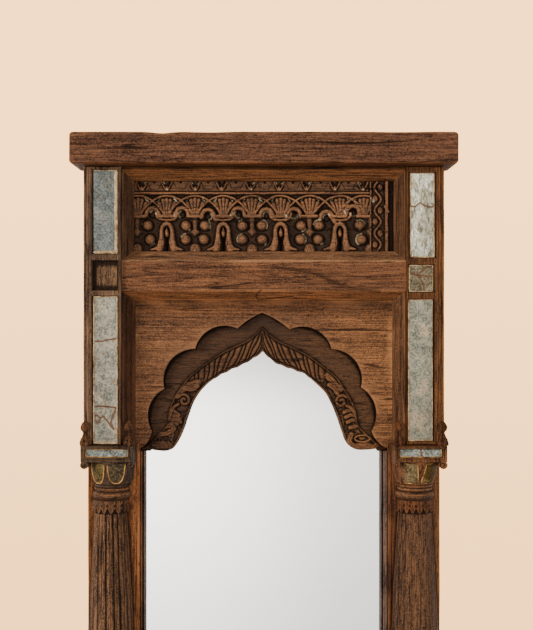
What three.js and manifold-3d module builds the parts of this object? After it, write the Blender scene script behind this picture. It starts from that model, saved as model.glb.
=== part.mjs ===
// A tall wall mirror in a carved wooden arch frame, made from an old window: a cornice beam on two
// posts, a carved frieze, a transom, a cusped arch panel, and half-round reeded columns on plinths.
// Millimetres. X is to the right, the front faces -Y, the wall is at +Y, Z is up.
// The origin is on the rear face, in the middle of the width and of the height.
import * as THREE from 'three';
import { mergeVertices } from 'three/addons/utils/BufferGeometryUtils.js';
import Module from 'manifold-3d';

// Whole frame, from the bottom up

const sillHeight = 76;
const plinthHeight = 120;
const baseHeight = 80;
const shaftHeight = 818;
const neckHeight = 32;
const bellHeight = 60;
const capitalHeight = 38;
const corniceHeight = 73;

const postSpan = 820; // outer face to outer face of the posts
const postWidth = 86.5;
const postDepth = 95;
const corniceOverhang = 26.5; // past each post
const corniceFrontOverhang = 35; // past the posts' front
const jambInset = 2; // jamb's outer face behind the post's
const jambWidth = 121;
const jambDepth = 45;
const sillOverhang = 12;
const sillDepth = 120;

// Glass, back board and sight beads

const boardThickness = 6;
const glassThickness = 5;
const seatGap = 0.3; // between hard pieces that only lie against each other
const beadWidth = 15;
const beadDepth = 24;
const bottomRailHeight = 70;
const glassAboveArch = 42; // how far the glass runs up behind the arch's point
const battenHeight = 45;

// Transom and mouldings round the frieze and the arch panel

const railDepth = 85;
const lipHeight = 6;
const friezeBevel = 22.5;
const friezeHeight = 162;
const friezeSeatDepth = 45; // depth of the bevels' inner edge at the frieze
const transomTopBevel = 23;
const transomFace = 70.5;
const transomBottomBevel = 20;
const archBevel = 26.5;
const archBevelDepth = 52; // depth of the bevels' inner edge at the arch panel

// Carved frieze

const friezeBack = 10;
const friezeGround = 36;
const friezeRelief = 10;
const friezeBandRelief = 6;
const friezeStripWidth = 34; // leafy upright strip at the right end
const friezeStripGap = 12;
const ribWidth = 5;
const archHalf = 54;
const archRise = 42;
const fanHalf = 22;
const fanHeight = 38;
const fanRelief = 8;
const barLength = 30;
const barHeight = 7.5;
const beadRadius = 11.8;
const beadSpacing = 43.6;
const beadRowSpacing = 30.8;
const beadRelief = 9;
const hoodHalf = 19;
const hoodHeight = 64;
const hoodRibWidth = 8;
const archPower = 1.5; // 2 would be an ellipse, 1 a straight-sided point
const fanSpreadShares = [0.12, 0.88]; // of half a turn
const beadProfileShares = [[1, 0.33], [0.7, 0.8]]; // of its radius and relief
const hoodProfileShares = [[-1.25, -1], [-0.62, -0.72], [-0.85, -0.3]]; // of its half width and height
const fanPlaceShares = [-0.372, -0.264, -0.158, -0.045, 0.064, 0.182, 0.3]; // of the frieze's length
const beadPlaceShares = [-0.482, -0.264, -0.045, 0.182, 0.408];
const hoodPlaceShares = [-0.372, -0.158, 0.064, 0.3];
const bandShares = [0, 0.17]; // the rest are drops from the frieze's top, as shares of its height
const archTopShare = 0.19;
const barTopShare = 0.473;
const beadTopRowShare = 0.634;
const hoodTopShare = 0.586;

// Arch panel

const archPanelHeight = 329; // above the posts' feet
const archPanelFront = 48;
const archFloor = 24;
const archRimFront = 38;
const footDrop = 21; // the feet hang this far below the posts' bottoms
const cuspPointMargin = 29; // from the point of the cusped line up to the transom
// Shares of half the sight width, and of the rise above the feet.
const cuspShares = {
  left: [[-0.016, 1], [-0.223, 0.886], [-0.582, 0.74], [-0.844, 0.452], [-0.951, 0.149], [-1.05, 0.025]],
  right: [[-0.016, 1], [0.219, 0.879], [0.574, 0.737], [0.824, 0.461], [0.915, 0.152], [1.05, 0.025]],
};
const lobeBulgeShares = [0.05, 0.24, 0.25, 0.22, -0.12]; // each lobe's rise over its chord
const rimOuterShares = {
  left: [[-0.016, 0.9], [-0.12, 0.814], [-0.276, 0.749], [-0.419, 0.682], [-0.561, 0.593],
    [-0.653, 0.527], [-0.718, 0.45], [-0.77, 0.384], [-0.809, 0.285], [-0.823, 0.196], [-0.9, 0.125]],
  right: [[-0.016, 0.9], [0.1, 0.814], [0.262, 0.749], [0.4, 0.682], [0.54, 0.593],
    [0.63, 0.527], [0.69, 0.45], [0.74, 0.384], [0.785, 0.285], [0.8, 0.196], [0.88, 0.125]],
};
const rimInnerShares = {
  left: [[-0.009, 0.715], [-0.054, 0.687], [-0.171, 0.627], [-0.301, 0.577], [-0.471, 0.49],
    [-0.536, 0.433], [-0.601, 0.35], [-0.646, 0.252], [-0.685, 0.152], [-0.725, 0.075], [-0.77, 0.02],
    [-0.823, 0.001], [-0.9, 0.003], [-0.965, 0.011]],
  right: [[-0.009, 0.715], [0.096, 0.637], [0.226, 0.593], [0.356, 0.549], [0.447, 0.483],
    [0.525, 0.417], [0.577, 0.34], [0.63, 0.23], [0.675, 0.119], [0.706, 0.053], [0.773, 0.014],
    [0.876, 0.009], [0.961, 0.017]],
};

// Panes let into the posts and capitals

const paneWidth = 57;
const paneInset = 22; // from the post's outer face to the recess
const paneRecess = 7;
const paneThickness = 4;
const paneSeatGap = 0.6; // round a pane, for its putty
// Each recess's top and bottom edge: drops from the post's top as shares of its height.
const paneDropShares = {
  left: [[0.0126, 0.315], [0.339, 0.4447], [0.466, 0.9968]],
  right: [[0.0237, 0.3286], [0.353, 0.4518], [0.477, 0.9866]],
};
const bareRecess = 'left'; // this post has lost its middle pane
const capitalPaneWidth = 97;
const capitalPaneHeight = 19.5;
const capitalPaneDrop = 7;

// Columns

const columnInset = 59.5; // from the jamb's outer face to the column's axis
const capitalWidth = 121;
const capitalOverhang = 4.5; // past the post's outer face
const capitalDepth = 112;
const earRadius = 9.5;
const bellTopHalf = 51;
const bellTopReach = 62;
const neckHalf = 42;
const neckReach = 42;
const torusHalf = 45;
const torusReach = 47;
const shaftTopHalf = 36;
const shaftBellyHalf = 54;
const shaftFootHalf = 49;
const shaftReachShare = 0.95;
const shaftBellyShare = 0.55; // of the way down the shaft
const bellRoundPower = 0.8;
const neckStep = 2;
const neckHeightShares = [0.16, 0.42, 0.66, 0.8];
const reedCount = 7;
const reedDepth = 3;
const collarThickness = 4;
const collarHeight = 30;
const collarTipDrop = 12;
const baseHalf = 57;
const baseReach = 60;
const baseStep = 4;
const baseLip = 1.5; // past the shaft's foot
const baseTorus = 5;
const baseHeightShares = [0.14, 0.22, 0.36, 0.56, 0.66, 0.82];
const plinthDepth = 112;
const petalHeight = 46;
const petalTopDrop = 3;
const petalThickness = 1.6;
const petalGap = 0.4;
const petalDegrees = [37, -17]; // from straight ahead, towards the outer side
const petalHalfDegrees = 21;
const petalDrawInShare = 0.86; // how far the sides draw in at the foot

// Hangers, clips and bumpers on the back

const plateWidth = 24;
const plateHeight = 58;
const plateThickness = 1.6;
const ringWire = 4;
const ringHalf = 17;
const ringDrop = 26;
const ringClearance = 0.4;
const ringCornerShare = 0.3; // of the wire's thickness
const knuckleLength = 16;
const screwHeadRadius = 4.5;
const screwHeadHeight = 2.2;
const screwHeadProfileShares = [0.8, 0.7]; // of its radius and height
const screwShankRadius = 2.2;
const screwHoleClearance = 0.3;
const upperScrewRise = 14; // from the plate's middle
const lowerScrewDrop = 16;
const hangerDrop = 120; // from the posts' tops to the plate's middle
const clipWidth = 18;
const clipLength = 46;
const clipThickness = 1.5;
const clipDrops = [560, 1500]; // from the frame's top
const bumperRadius = 15;
const bumperThickness = 6;
const bumperRise = 130; // from the frame's bottom

// Places worked out from the sizes

const postHeight = archPanelHeight + transomBottomBevel + transomFace + transomTopBevel
  + friezeHeight + friezeBevel + lipHeight;
const frameHeight = sillHeight + plinthHeight + baseHeight + shaftHeight + neckHeight + bellHeight
  + capitalHeight + postHeight + corniceHeight;
const bottomZ = -frameHeight / 2;
const sillTopZ = bottomZ + sillHeight;
const plinthTopZ = sillTopZ + plinthHeight;
const baseTopZ = plinthTopZ + baseHeight;
const shaftTopZ = baseTopZ + shaftHeight;
const neckTopZ = shaftTopZ + neckHeight;
const bellTopZ = neckTopZ + bellHeight;
const postBottomZ = bellTopZ + capitalHeight;
const postTopZ = postBottomZ + postHeight;
const topZ = postTopZ + corniceHeight;

const postOuterX = postSpan / 2;
const postInnerX = postOuterX - postWidth;
const jambOuterX = postOuterX - jambInset;
const jambInnerX = jambOuterX - jambWidth;
const sightHalf = jambInnerX - beadWidth;
const columnX = jambOuterX - columnInset;
const capitalOuterX = postOuterX + capitalOverhang;
const capitalInnerX = capitalOuterX - capitalWidth;

const friezeTopZ = postTopZ - lipHeight - friezeBevel;
const friezeBottomZ = friezeTopZ - friezeHeight;
const friezeHalf = postInnerX - friezeBevel;
const transomFaceTopZ = friezeBottomZ - transomTopBevel;
const transomFaceBottomZ = transomFaceTopZ - transomFace;
const transomBottomZ = transomFaceBottomZ - transomBottomBevel;
const archHalfWidth = postInnerX - archBevel;
const footZ = postBottomZ - footDrop;
const archPanelRise = transomBottomZ - cuspPointMargin - footZ; // to the cusped line's point
const glassFront = boardThickness + seatGap + glassThickness;
const archBack = glassFront + seatGap;
const railTopZ = sillTopZ + bottomRailHeight;
const glassBottomZ = railTopZ + seatGap;
const glassTopZ = footZ + rimInnerShares.left[0][1] * archPanelRise + glassAboveArch;
const glassHalf = jambInnerX - seatGap;

// Materials

function finish(color, roughness, metalness = 0) {
  return new THREE.MeshStandardMaterial({ color, roughness, metalness });
}

const oldWood = () => finish(0x6b4630, 0.72);
const warmWood = () => finish(0x7a4a28, 0.7);
const foxedPane = () => finish(0x97a09c, 0.35, 0.3);
const petalPane = () => finish(0x7d6a3d, 0.4, 0.3);
const silvered = () => finish(0xe6e6e4, 0.04, 1);
const plywood = () => finish(0xa58a64, 0.8);
const iron = () => finish(0x55514c, 0.5, 0.9);
const felt = () => finish(0x2b2622, 0.95);

// Solid making

const wasm = await Module();
wasm.setup();

function solid(geometry) {
  const bare = geometry.clone();
  bare.deleteAttribute('normal');
  bare.deleteAttribute('uv');
  const merged = mergeVertices(bare, 1e-4);
  return new wasm.Manifold(new wasm.Mesh({
    numProp: 3,
    vertProperties: new Float32Array(merged.attributes.position.array),
    triVerts: new Uint32Array(merged.index.array),
  }));
}

function fromSolid(body) {
  const mesh = body.getMesh();
  const points = [];
  for (let i = 0; i < mesh.vertProperties.length; i += mesh.numProp) {
    points.push(mesh.vertProperties[i], mesh.vertProperties[i + 1], mesh.vertProperties[i + 2]);
  }
  const geometry = new THREE.BufferGeometry();
  geometry.setAttribute('position', new THREE.Float32BufferAttribute(points, 3));
  geometry.setIndex(Array.from(mesh.triVerts));
  return geometry;
}

const join = (...geometries) => fromSolid(geometries.map(solid).reduce((a, b) => a.add(b)));
const cut = (base, ...tools) => fromSolid(tools.map(solid).reduce((a, b) => a.subtract(b), solid(base)));

// A box by its limits; depths count from the rear plane towards the front.
function block(x0, x1, backDepth, frontDepth, z0, z1) {
  const geometry = new THREE.BoxGeometry(x1 - x0, frontDepth - backDepth, z1 - z0);
  geometry.translate((x0 + x1) / 2, -(backDepth + frontDepth) / 2, (z0 + z1) / 2);
  return geometry;
}

// A flat outline in X and Z, thick from one depth to the other.
function plate(outline, backDepth, frontDepth) {
  const shape = new THREE.Shape(outline.map(([x, z]) => new THREE.Vector2(x, z)));
  const geometry = new THREE.ExtrudeGeometry(shape, { depth: frontDepth - backDepth, bevelEnabled: false });
  geometry.rotateX(Math.PI / 2);
  geometry.translate(0, -backDepth, 0);
  return geometry;
}

// Sections with the same number of points, joined in a row, with both ends closed round a middle point.
function loft(sections) {
  const count = sections[0].points.length;
  const positions = [];
  for (const section of sections) {
    for (const point of section.points) {
      positions.push(...point);
    }
  }
  const faces = [];
  for (let row = 0; row + 1 < sections.length; row += 1) {
    for (let i = 0; i < count; i += 1) {
      const a = row * count + i;
      const b = row * count + ((i + 1) % count);
      faces.push(a, b, b + count, a, b + count, a + count);
    }
  }
  const first = positions.length / 3;
  positions.push(...sections[0].middle, ...sections[sections.length - 1].middle);
  const last = (sections.length - 1) * count;
  for (let i = 0; i < count; i += 1) {
    const next = (i + 1) % count;
    faces.push(first, next, i, first + 1, last + i, last + next);
  }
  const geometry = new THREE.BufferGeometry();
  geometry.setAttribute('position', new THREE.Float32BufferAttribute(positions, 3));
  geometry.setIndex(faces);
  return geometry;
}

// Half-round turning against the jamb's face: rows of [height, half width, reach], reeded if asked.
function halfTurning(axisX, rows, steps, reeds = 0) {
  return loft(rows.map(([z, half, reach]) => {
    const points = [];
    for (let i = 0; i <= steps; i += 1) {
      const angle = Math.PI * i / steps;
      const groove = reeds && i > 0 && i < steps ? reedDepth * Math.abs(Math.cos(reeds * angle)) ** 6 : 0;
      const x = axisX + (half - groove) * Math.cos(angle);
      points.push([x, -jambDepth - (reach - groove) * Math.sin(angle), z]);
    }
    points.reverse();
    return { points, middle: [axisX, -jambDepth, z] };
  }));
}

// A bevelled moulding between an outer edge and an inner edge, each given by its two ends in X and Z.
function bevelBar(outer, inner, outerDepth, innerDepth, backDepth = 0) {
  const section = (end) => {
    const [ox, oz] = outer[end];
    const [ix, iz] = inner[end];
    return {
      points: [[ox, -backDepth, oz], [ox, -outerDepth, oz], [ix, -innerDepth, iz], [ix, -backDepth, iz]],
      middle: [(ox + ix) / 2, -(backDepth + innerDepth) / 2, (oz + iz) / 2],
    };
  };
  return loft([section(0), section(1)]);
}

// A closed outline that follows a run of points at a steady width.
function ribOutline(points, width) {
  const left = [];
  const right = [];
  points.forEach((point, i) => {
    const before = points[Math.max(i - 1, 0)];
    const after = points[Math.min(i + 1, points.length - 1)];
    const direction = [after[0] - before[0], after[1] - before[1]];
    const length = Math.hypot(...direction);
    const side = [-direction[1] / length * width / 2, direction[0] / length * width / 2];
    left.push([point[0] + side[0], point[1] + side[1]]);
    right.push([point[0] - side[0], point[1] - side[1]]);
  });
  return [...left, ...right.reverse()];
}

// A smooth run through a few points.
function smooth(points, steps) {
  const through = points.map(([x, z]) => new THREE.Vector3(x, 0, z));
  const curve = new THREE.CatmullRomCurve3(through, false, 'centripetal');
  return curve.getPoints(steps).map((point) => [point.x, point.z]);
}

// An arc from one point to another that bulges to the left of the way by a share of the chord.
function bulgedArc(from, to, bulgeShare, steps) {
  const points = [];
  const chord = [to[0] - from[0], to[1] - from[1]];
  for (let i = 0; i < steps; i += 1) {
    const t = i / steps;
    const rise = 4 * bulgeShare * t * (1 - t);
    points.push([from[0] + chord[0] * t - chord[1] * rise, from[1] + chord[1] * t + chord[0] * rise]);
  }
  return points;
}

const mirrored = (outline) => outline.map(([x, z]) => [-x, z]);

const wallMirror = new THREE.Group();
wallMirror.name = 'wall_mirror';

function add(name, geometry, material) {
  const mesh = new THREE.Mesh(geometry, material);
  mesh.name = name;
  wallMirror.add(mesh);
  return mesh;
}

// Cornice, posts, jambs, sill

function addBeams() {
  const corniceHalf = postOuterX + corniceOverhang;
  const corniceDepth = postDepth + corniceFrontOverhang;
  add('cornice_beam', block(-corniceHalf, corniceHalf, 0, corniceDepth, postTopZ, topZ), oldWood());
  const sillHalf = jambOuterX + sillOverhang;
  add('sill_beam', block(-sillHalf, sillHalf, 0, sillDepth, bottomZ, sillTopZ), oldWood());
  add('bottom_rail', block(-jambInnerX, jambInnerX, 0, jambDepth, sillTopZ, railTopZ), warmWood());
}

function addPost(side, name) {
  const outer = side * postOuterX;
  const inner = side * postInnerX;
  const centre = side * (postOuterX - paneInset - paneWidth / 2);
  const recesses = paneDropShares[name].map(([top, bottom]) => block(
    centre - paneWidth / 2, centre + paneWidth / 2, postDepth - paneRecess, postDepth + seatGap,
    postTopZ - bottom * postHeight, postTopZ - top * postHeight,
  ));
  const body = block(Math.min(outer, inner), Math.max(outer, inner), 0, postDepth, postBottomZ, postTopZ);
  add(`post_${name}`, cut(body, ...recesses), oldWood());
}

function addPostPanes(side, name) {
  const levels = ['upper', 'middle', 'lower'];
  paneDropShares[name].forEach(([top, bottom], level) => {
    if (levels[level] === 'middle' && name === bareRecess) {
      return;
    }
    const centre = side * (postOuterX - paneInset - paneWidth / 2);
    const half = paneWidth / 2 - paneSeatGap;
    const back = postDepth - paneRecess;
    const geometry = block(
      centre - half, centre + half, back, back + paneThickness,
      postTopZ - bottom * postHeight + paneSeatGap, postTopZ - top * postHeight - paneSeatGap,
    );
    add(`pane_${levels[level]}_${name}`, geometry, foxedPane());
  });
}

function addJamb(side, name) {
  const x = [side * jambInnerX, side * jambOuterX].sort((a, b) => a - b);
  const body = block(x[0], x[1], 0, jambDepth, sillTopZ, postBottomZ);
  add(`jamb_${name}`, cut(body, ...clipPockets(side)), warmWood());
  const bead = [side * sightHalf, side * jambInnerX].sort((a, b) => a - b);
  const beadBody = block(bead[0], bead[1], archBack, archBack + beadDepth, railTopZ, footZ);
  add(`sight_bead_${name}`, beadBody, warmWood());
}

// Frieze, transom and their mouldings

function addMouldings() {
  const lip = block(-postInnerX, postInnerX, 0, railDepth, postTopZ - lipHeight, postTopZ);
  const topBevel = bevelBar(
    [[-postInnerX, friezeTopZ + friezeBevel], [postInnerX, friezeTopZ + friezeBevel]],
    [[-friezeHalf, friezeTopZ], [friezeHalf, friezeTopZ]],
    railDepth, friezeSeatDepth,
  );
  add('frieze_moulding_top', join(lip, topBevel), warmWood());
  const face = block(-postInnerX, postInnerX, 0, railDepth, transomFaceBottomZ, transomFaceTopZ);
  const upperBevel = bevelBar(
    [[postInnerX, transomFaceTopZ], [-postInnerX, transomFaceTopZ]],
    [[friezeHalf, friezeBottomZ], [-friezeHalf, friezeBottomZ]],
    railDepth, friezeSeatDepth,
  );
  const lowerBevel = bevelBar(
    [[-postInnerX, transomFaceBottomZ], [postInnerX, transomFaceBottomZ]],
    [[-archHalfWidth, transomBottomZ], [archHalfWidth, transomBottomZ]],
    railDepth, archBevelDepth,
  );
  add('transom_rail', join(face, upperBevel, lowerBevel), oldWood());
  for (const [side, name] of [[-1, 'left'], [1, 'right']]) {
    const outer = side * (postInnerX - seatGap);
    const upright = (outerZs, innerX, innerZs, innerDepth) => {
      const ends = [outerZs.map((z) => [outer, z]), innerZs.map((z) => [innerX, z])];
      return bevelBar(...ends.map((end) => (side < 0 ? end : end.reverse())), railDepth, innerDepth);
    };
    add(`frieze_moulding_${name}`, upright(
      [transomFaceTopZ + seatGap * 2, friezeTopZ + friezeBevel - seatGap * 2],
      side * friezeHalf, [friezeBottomZ + seatGap, friezeTopZ - seatGap], friezeSeatDepth,
    ), warmWood());
    const archUpright = upright(
      [postBottomZ, transomFaceBottomZ - seatGap * 2],
      side * archHalfWidth, [postBottomZ, transomBottomZ - seatGap], archBevelDepth,
    );
    add(`arch_moulding_${name}`, cut(archUpright, ...clipPockets(side)), warmWood());
  }
}

function addFrieze() {
  const right = friezeHalf - seatGap;
  const front = friezeGround + friezeRelief;
  const drop = (share) => friezeTopZ - share * friezeHeight;
  const place = (share) => share * friezeHalf * 2;
  const patternEnd = right - friezeStripGap - friezeStripWidth;
  const pieces = [block(-right, right, friezeBack, friezeGround, friezeBottomZ, friezeTopZ)];
  const bandFront = friezeGround + friezeBandRelief;
  pieces.push(block(-right, right, friezeBack, bandFront, drop(bandShares[1]), drop(bandShares[0])));
  pieces.push(block(patternEnd, right - friezeStripGap, friezeBack, bandFront, friezeBottomZ, friezeTopZ));
  const arch = (x) => {
    const run = [];
    for (let i = 0; i <= 12; i += 1) {
      const across = Math.cos(Math.PI * i / 12);
      const up = (1 - Math.abs(across) ** archPower) ** (1 / archPower);
      run.push([x + across * archHalf, drop(archTopShare) + (up - 1) * archRise - ribWidth / 2]);
    }
    return plate(ribOutline(run, ribWidth), friezeBack, front);
  };
  const fan = (x) => {
    const foot = drop(barTopShare);
    const run = [[x - barHeight / 2, foot], [x + barHeight / 2, foot]];
    const [from, to] = fanSpreadShares;
    for (let i = 0; i <= 10; i += 1) {
      const angle = Math.PI * (from + (to - from) * i / 10);
      run.push([x + fanHalf * Math.cos(angle), foot + fanHeight * Math.sin(angle)]);
    }
    return plate(run, friezeBack, friezeGround + fanRelief);
  };
  for (const share of fanPlaceShares) {
    const x = place(share);
    const barTop = drop(barTopShare);
    pieces.push(arch(x), fan(x));
    pieces.push(block(x - barLength / 2, x + barLength / 2, friezeBack, front, barTop - barHeight, barTop));
  }
  const domeProfile = beadProfileShares.map(([out, up]) => (
    new THREE.Vector2(beadRadius * out, friezeGround + beadRelief * up)
  ));
  for (const share of beadPlaceShares) {
    for (const [across, row] of [[-1, 0], [1, 0], [-1, 1], [1, 1]]) {
      const x = place(share) + across * beadSpacing / 2;
      if (Math.abs(x) < right - beadRadius && x < patternEnd - beadRadius) {
        const dome = new THREE.LatheGeometry([
          new THREE.Vector2(0, friezeBack),
          new THREE.Vector2(beadRadius, friezeBack),
          ...domeProfile,
          new THREE.Vector2(0, friezeGround + beadRelief),
        ], 10);
        dome.rotateX(Math.PI);
        dome.translate(x, 0, drop(beadTopRowShare) - row * beadRowSpacing);
        pieces.push(dome);
      }
    }
  }
  for (const share of hoodPlaceShares) {
    const x = place(share);
    const run = hoodProfileShares.map(([a, b]) => [a * hoodHalf, b * hoodHeight]);
    const top = [0, -hoodRibWidth / 2];
    const outline = smooth([...run, top, ...mirrored(run).reverse()], 16);
    const placed = outline.map(([a, b]) => [x + a, drop(hoodTopShare) + b]);
    pieces.push(plate(ribOutline(placed, hoodRibWidth), friezeBack, front));
  }
  const panel = block(-right, right, 0, railDepth, friezeBottomZ, friezeTopZ);
  const whole = pieces.map(solid).reduce((a, b) => a.add(b)).intersect(solid(panel));
  add('frieze_panel', fromSolid(whole), oldWood());
}

// Arch panel

const archPoint = ([x, z]) => [x * sightHalf, footZ + z * archPanelRise];

function cuspedLine(side) {
  const corners = cuspShares[side].map(archPoint);
  const sign = side === 'left' ? -1 : 1;
  const run = [];
  for (let i = 0; i + 1 < corners.length; i += 1) {
    run.push(...bulgedArc(corners[i], corners[i + 1], sign * lobeBulgeShares[i], i === 0 ? 3 : 7));
  }
  run.push(corners[corners.length - 1]);
  return run;
}

// Across both halves, from the left foot over the point to the right foot.
function acrossArch(lineOf) {
  return [...lineOf('left').reverse(), ...lineOf('right').slice(1)];
}

function addArchPanel() {
  const side = archHalfWidth - seatGap;
  const footSide = jambInnerX - seatGap;
  const shoulders = [
    [footSide, footZ], [footSide, postBottomZ], [side, postBottomZ], [side, transomBottomZ],
  ];
  const frame = [...shoulders, ...mirrored(shoulders).reverse()];
  const opening = acrossArch((name) => smooth(rimInnerShares[name].map(archPoint), 22));
  const rimOuter = acrossArch((name) => smooth(rimOuterShares[name].map(archPoint), 18));
  const cusps = acrossArch(cuspedLine);
  const below = footZ - footDrop;
  const closed = (line) => [...line, [line[line.length - 1][0], below], [line[0][0], below]];
  const through = (line) => solid(plate(closed(line), 0, postDepth));
  const slab = solid(plate(frame, archBack, archFloor)).subtract(through(opening));
  const front = solid(plate(frame, archFloor, archPanelFront)).subtract(through(cusps));
  const band = solid(plate(frame, archFloor, archRimFront));
  const rim = band.intersect(through(rimOuter)).subtract(through(opening));
  add('arch_panel', fromSolid(slab.add(front).add(rim)), oldWood());
}

// Capital, bell, neck, collar, shaft, base and plinth of one column

function addCapital(side, name) {
  const x = [side * capitalInnerX, side * capitalOuterX].sort((a, b) => a - b);
  const centre = (x[0] + x[1]) / 2;
  const paneTop = postBottomZ - capitalPaneDrop;
  const halfPane = capitalPaneWidth / 2;
  const recess = block(
    centre - halfPane, centre + halfPane, capitalDepth - paneRecess, capitalDepth + seatGap,
    paneTop - capitalPaneHeight, paneTop,
  );
  const body = block(x[0], x[1], jambDepth, capitalDepth, bellTopZ, postBottomZ);
  const ear = new THREE.CylinderGeometry(earRadius, earRadius, capitalDepth - jambDepth, 14);
  const earX = side * (capitalOuterX - earRadius);
  ear.translate(earX, -(capitalDepth + jambDepth) / 2, bellTopZ - earRadius / 2);
  const post = block(...x, 0, postDepth + seatGap, postBottomZ, topZ);
  add(`capital_${name}`, cut(join(body, ear), recess, post), oldWood());
  const back = capitalDepth - paneRecess;
  add(`pane_capital_${name}`, block(
    centre - halfPane + paneSeatGap, centre + halfPane - paneSeatGap, back, back + paneThickness,
    paneTop - capitalPaneHeight + paneSeatGap, paneTop - paneSeatGap,
  ), foxedPane());
}

// The bell's half width and reach at a height above the neck, as a share of the bell's height.
function bellAt(share) {
  const open = Math.sin(share * Math.PI / 2) ** bellRoundPower;
  return [neckHalf + (bellTopHalf - neckHalf) * open, neckReach + (bellTopReach - neckReach) * open];
}

function addBell(side, name) {
  const axis = side * columnX;
  const steps = 5;
  const rows = [];
  for (let i = 0; i <= steps; i += 1) {
    const share = i / steps;
    rows.push([neckTopZ + share * bellHeight, ...bellAt(share)]);
  }
  const earRoom = new THREE.CylinderGeometry(earRadius + seatGap, earRadius + seatGap, capitalDepth, 14);
  earRoom.translate(side * (capitalOuterX - earRadius), -capitalDepth / 2, bellTopZ - earRadius / 2);
  add(`capital_bell_${name}`, cut(halfTurning(axis, rows, 24), earRoom), oldWood());
}

function addPetal(side, name, degrees, label) {
  const rows = 6;
  const across = 6;
  const sheet = (offset) => {
    const points = [];
    for (let row = 0; row <= rows; row += 1) {
      const down = row / rows;
      const z = bellTopZ - petalTopDrop - down * petalHeight;
      const [half, reach] = bellAt((z - neckTopZ) / bellHeight);
      const width = petalHalfDegrees * Math.sqrt(1 - down ** 3 * petalDrawInShare);
      for (let i = 0; i <= across; i += 1) {
        const turn = THREE.MathUtils.degToRad(degrees + width * (2 * i / across - 1));
        const x = side * (columnX + (half + offset) * Math.sin(turn));
        points.push([x, -jambDepth - (reach + offset) * Math.cos(turn), z]);
      }
    }
    return points;
  };
  const inner = sheet(petalGap);
  const outer = sheet(petalGap + petalThickness);
  const count = inner.length;
  const wide = across + 1;
  const faces = [];
  const quad = (a, b, c, d) => faces.push(a, b, c, a, c, d);
  for (let row = 0; row < rows; row += 1) {
    for (let i = 0; i < across; i += 1) {
      const a = row * wide + i;
      quad(a, a + 1, a + 1 + wide, a + wide);
      quad(count + a, count + a + wide, count + a + 1 + wide, count + a + 1);
    }
  }
  const edge = [];
  for (let i = 0; i < across; i += 1) {
    edge.push(i);
  }
  for (let row = 0; row < rows; row += 1) {
    edge.push(row * wide + across);
  }
  for (let i = across; i > 0; i -= 1) {
    edge.push(rows * wide + i);
  }
  for (let row = rows; row > 0; row -= 1) {
    edge.push(row * wide);
  }
  edge.forEach((a, i) => {
    const b = edge[(i + 1) % edge.length];
    quad(a, a + count, b + count, b);
  });
  if (side < 0) {
    faces.reverse();
  }
  const geometry = new THREE.BufferGeometry();
  geometry.setAttribute('position', new THREE.Float32BufferAttribute([...inner, ...outer].flat(), 3));
  geometry.setIndex(faces);
  add(`petal_${label}_${name}`, geometry, petalPane());
}

function addNeck(side, name) {
  const [under, middle, over, throat] = neckHeightShares.map((share) => shaftTopZ + neckHeight * share);
  const foot = shaftTopHalf + collarThickness;
  const rows = [
    [shaftTopZ, foot, foot],
    [under, torusHalf - neckStep, torusReach - neckStep],
    [middle, torusHalf, torusReach],
    [over, torusHalf - neckStep, torusReach - neckStep],
    [throat, neckHalf - neckStep, neckReach - neckStep],
    [neckTopZ, neckHalf, neckReach],
  ];
  add(`neck_ring_${name}`, halfTurning(side * columnX, rows, 24), oldWood());
}

// Half width of the shaft at a share of the way down.
function shaftHalfAt(down) {
  const toBelly = Math.min(down / shaftBellyShare, 1);
  const toFoot = Math.max((down - shaftBellyShare) / (1 - shaftBellyShare), 0);
  const swell = (shaftBellyHalf - shaftTopHalf) * Math.sin(toBelly * Math.PI / 2);
  return shaftTopHalf + swell - (shaftBellyHalf - shaftFootHalf) * toFoot ** 2;
}

function addShaft(side, name) {
  const axis = side * columnX;
  const steps = 12;
  const rows = [];
  for (let i = 0; i <= steps; i += 1) {
    const half = shaftHalfAt(1 - i / steps);
    rows.push([baseTopZ + shaftHeight * i / steps, half, half * shaftReachShare]);
  }
  add(`column_shaft_${name}`, halfTurning(axis, rows, reedCount * 4, reedCount), oldWood());
  const tips = reedCount + 1;
  const around = tips * 4;
  const ring = [];
  for (let i = 0; i <= around; i += 1) {
    const angle = Math.PI * i / around;
    const tip = Math.abs(((i / 4) % 1) - 0.5) * 2;
    const bottom = shaftTopZ - collarHeight + collarTipDrop * tip;
    const half = shaftHalfAt(collarHeight / shaftHeight) + seatGap;
    const at = (extra, z) => [
      axis + (half + extra) * Math.cos(angle), -jambDepth - (half + extra) * Math.sin(angle), z,
    ];
    ring.push({
      points: [
        at(0, bottom), at(collarThickness, bottom), at(collarThickness, shaftTopZ), at(0, shaftTopZ),
      ],
      middle: at(collarThickness / 2, (bottom + shaftTopZ) / 2),
    });
  }
  add(`leaf_collar_${name}`, loft(ring), oldWood());
}

function addBase(side, name) {
  const levels = baseHeightShares.map((share) => plinthTopZ + baseHeight * share);
  const lip = shaftFootHalf + baseLip;
  const torus = shaftFootHalf + baseTorus;
  const rows = [
    [plinthTopZ, baseHalf, baseReach],
    [levels[0], baseHalf, baseReach],
    [levels[1], baseHalf - baseStep, baseReach - baseStep],
    [levels[2], baseHalf - baseLip, baseReach - baseLip],
    [levels[3], baseHalf - baseStep, baseReach - baseStep],
    [levels[4], lip, lip],
    [levels[5], torus, torus],
    [baseTopZ, lip, lip],
  ];
  add(`column_base_${name}`, halfTurning(side * columnX, rows, 24), oldWood());
  const half = capitalWidth / 2;
  const centre = side * columnX;
  const plinth = block(centre - half, centre + half, jambDepth, plinthDepth, sillTopZ, plinthTopZ);
  add(`plinth_${name}`, plinth, oldWood());
}

// Mirror glass, back board, batten, clips and bumpers; the clips are let in flush

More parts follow.
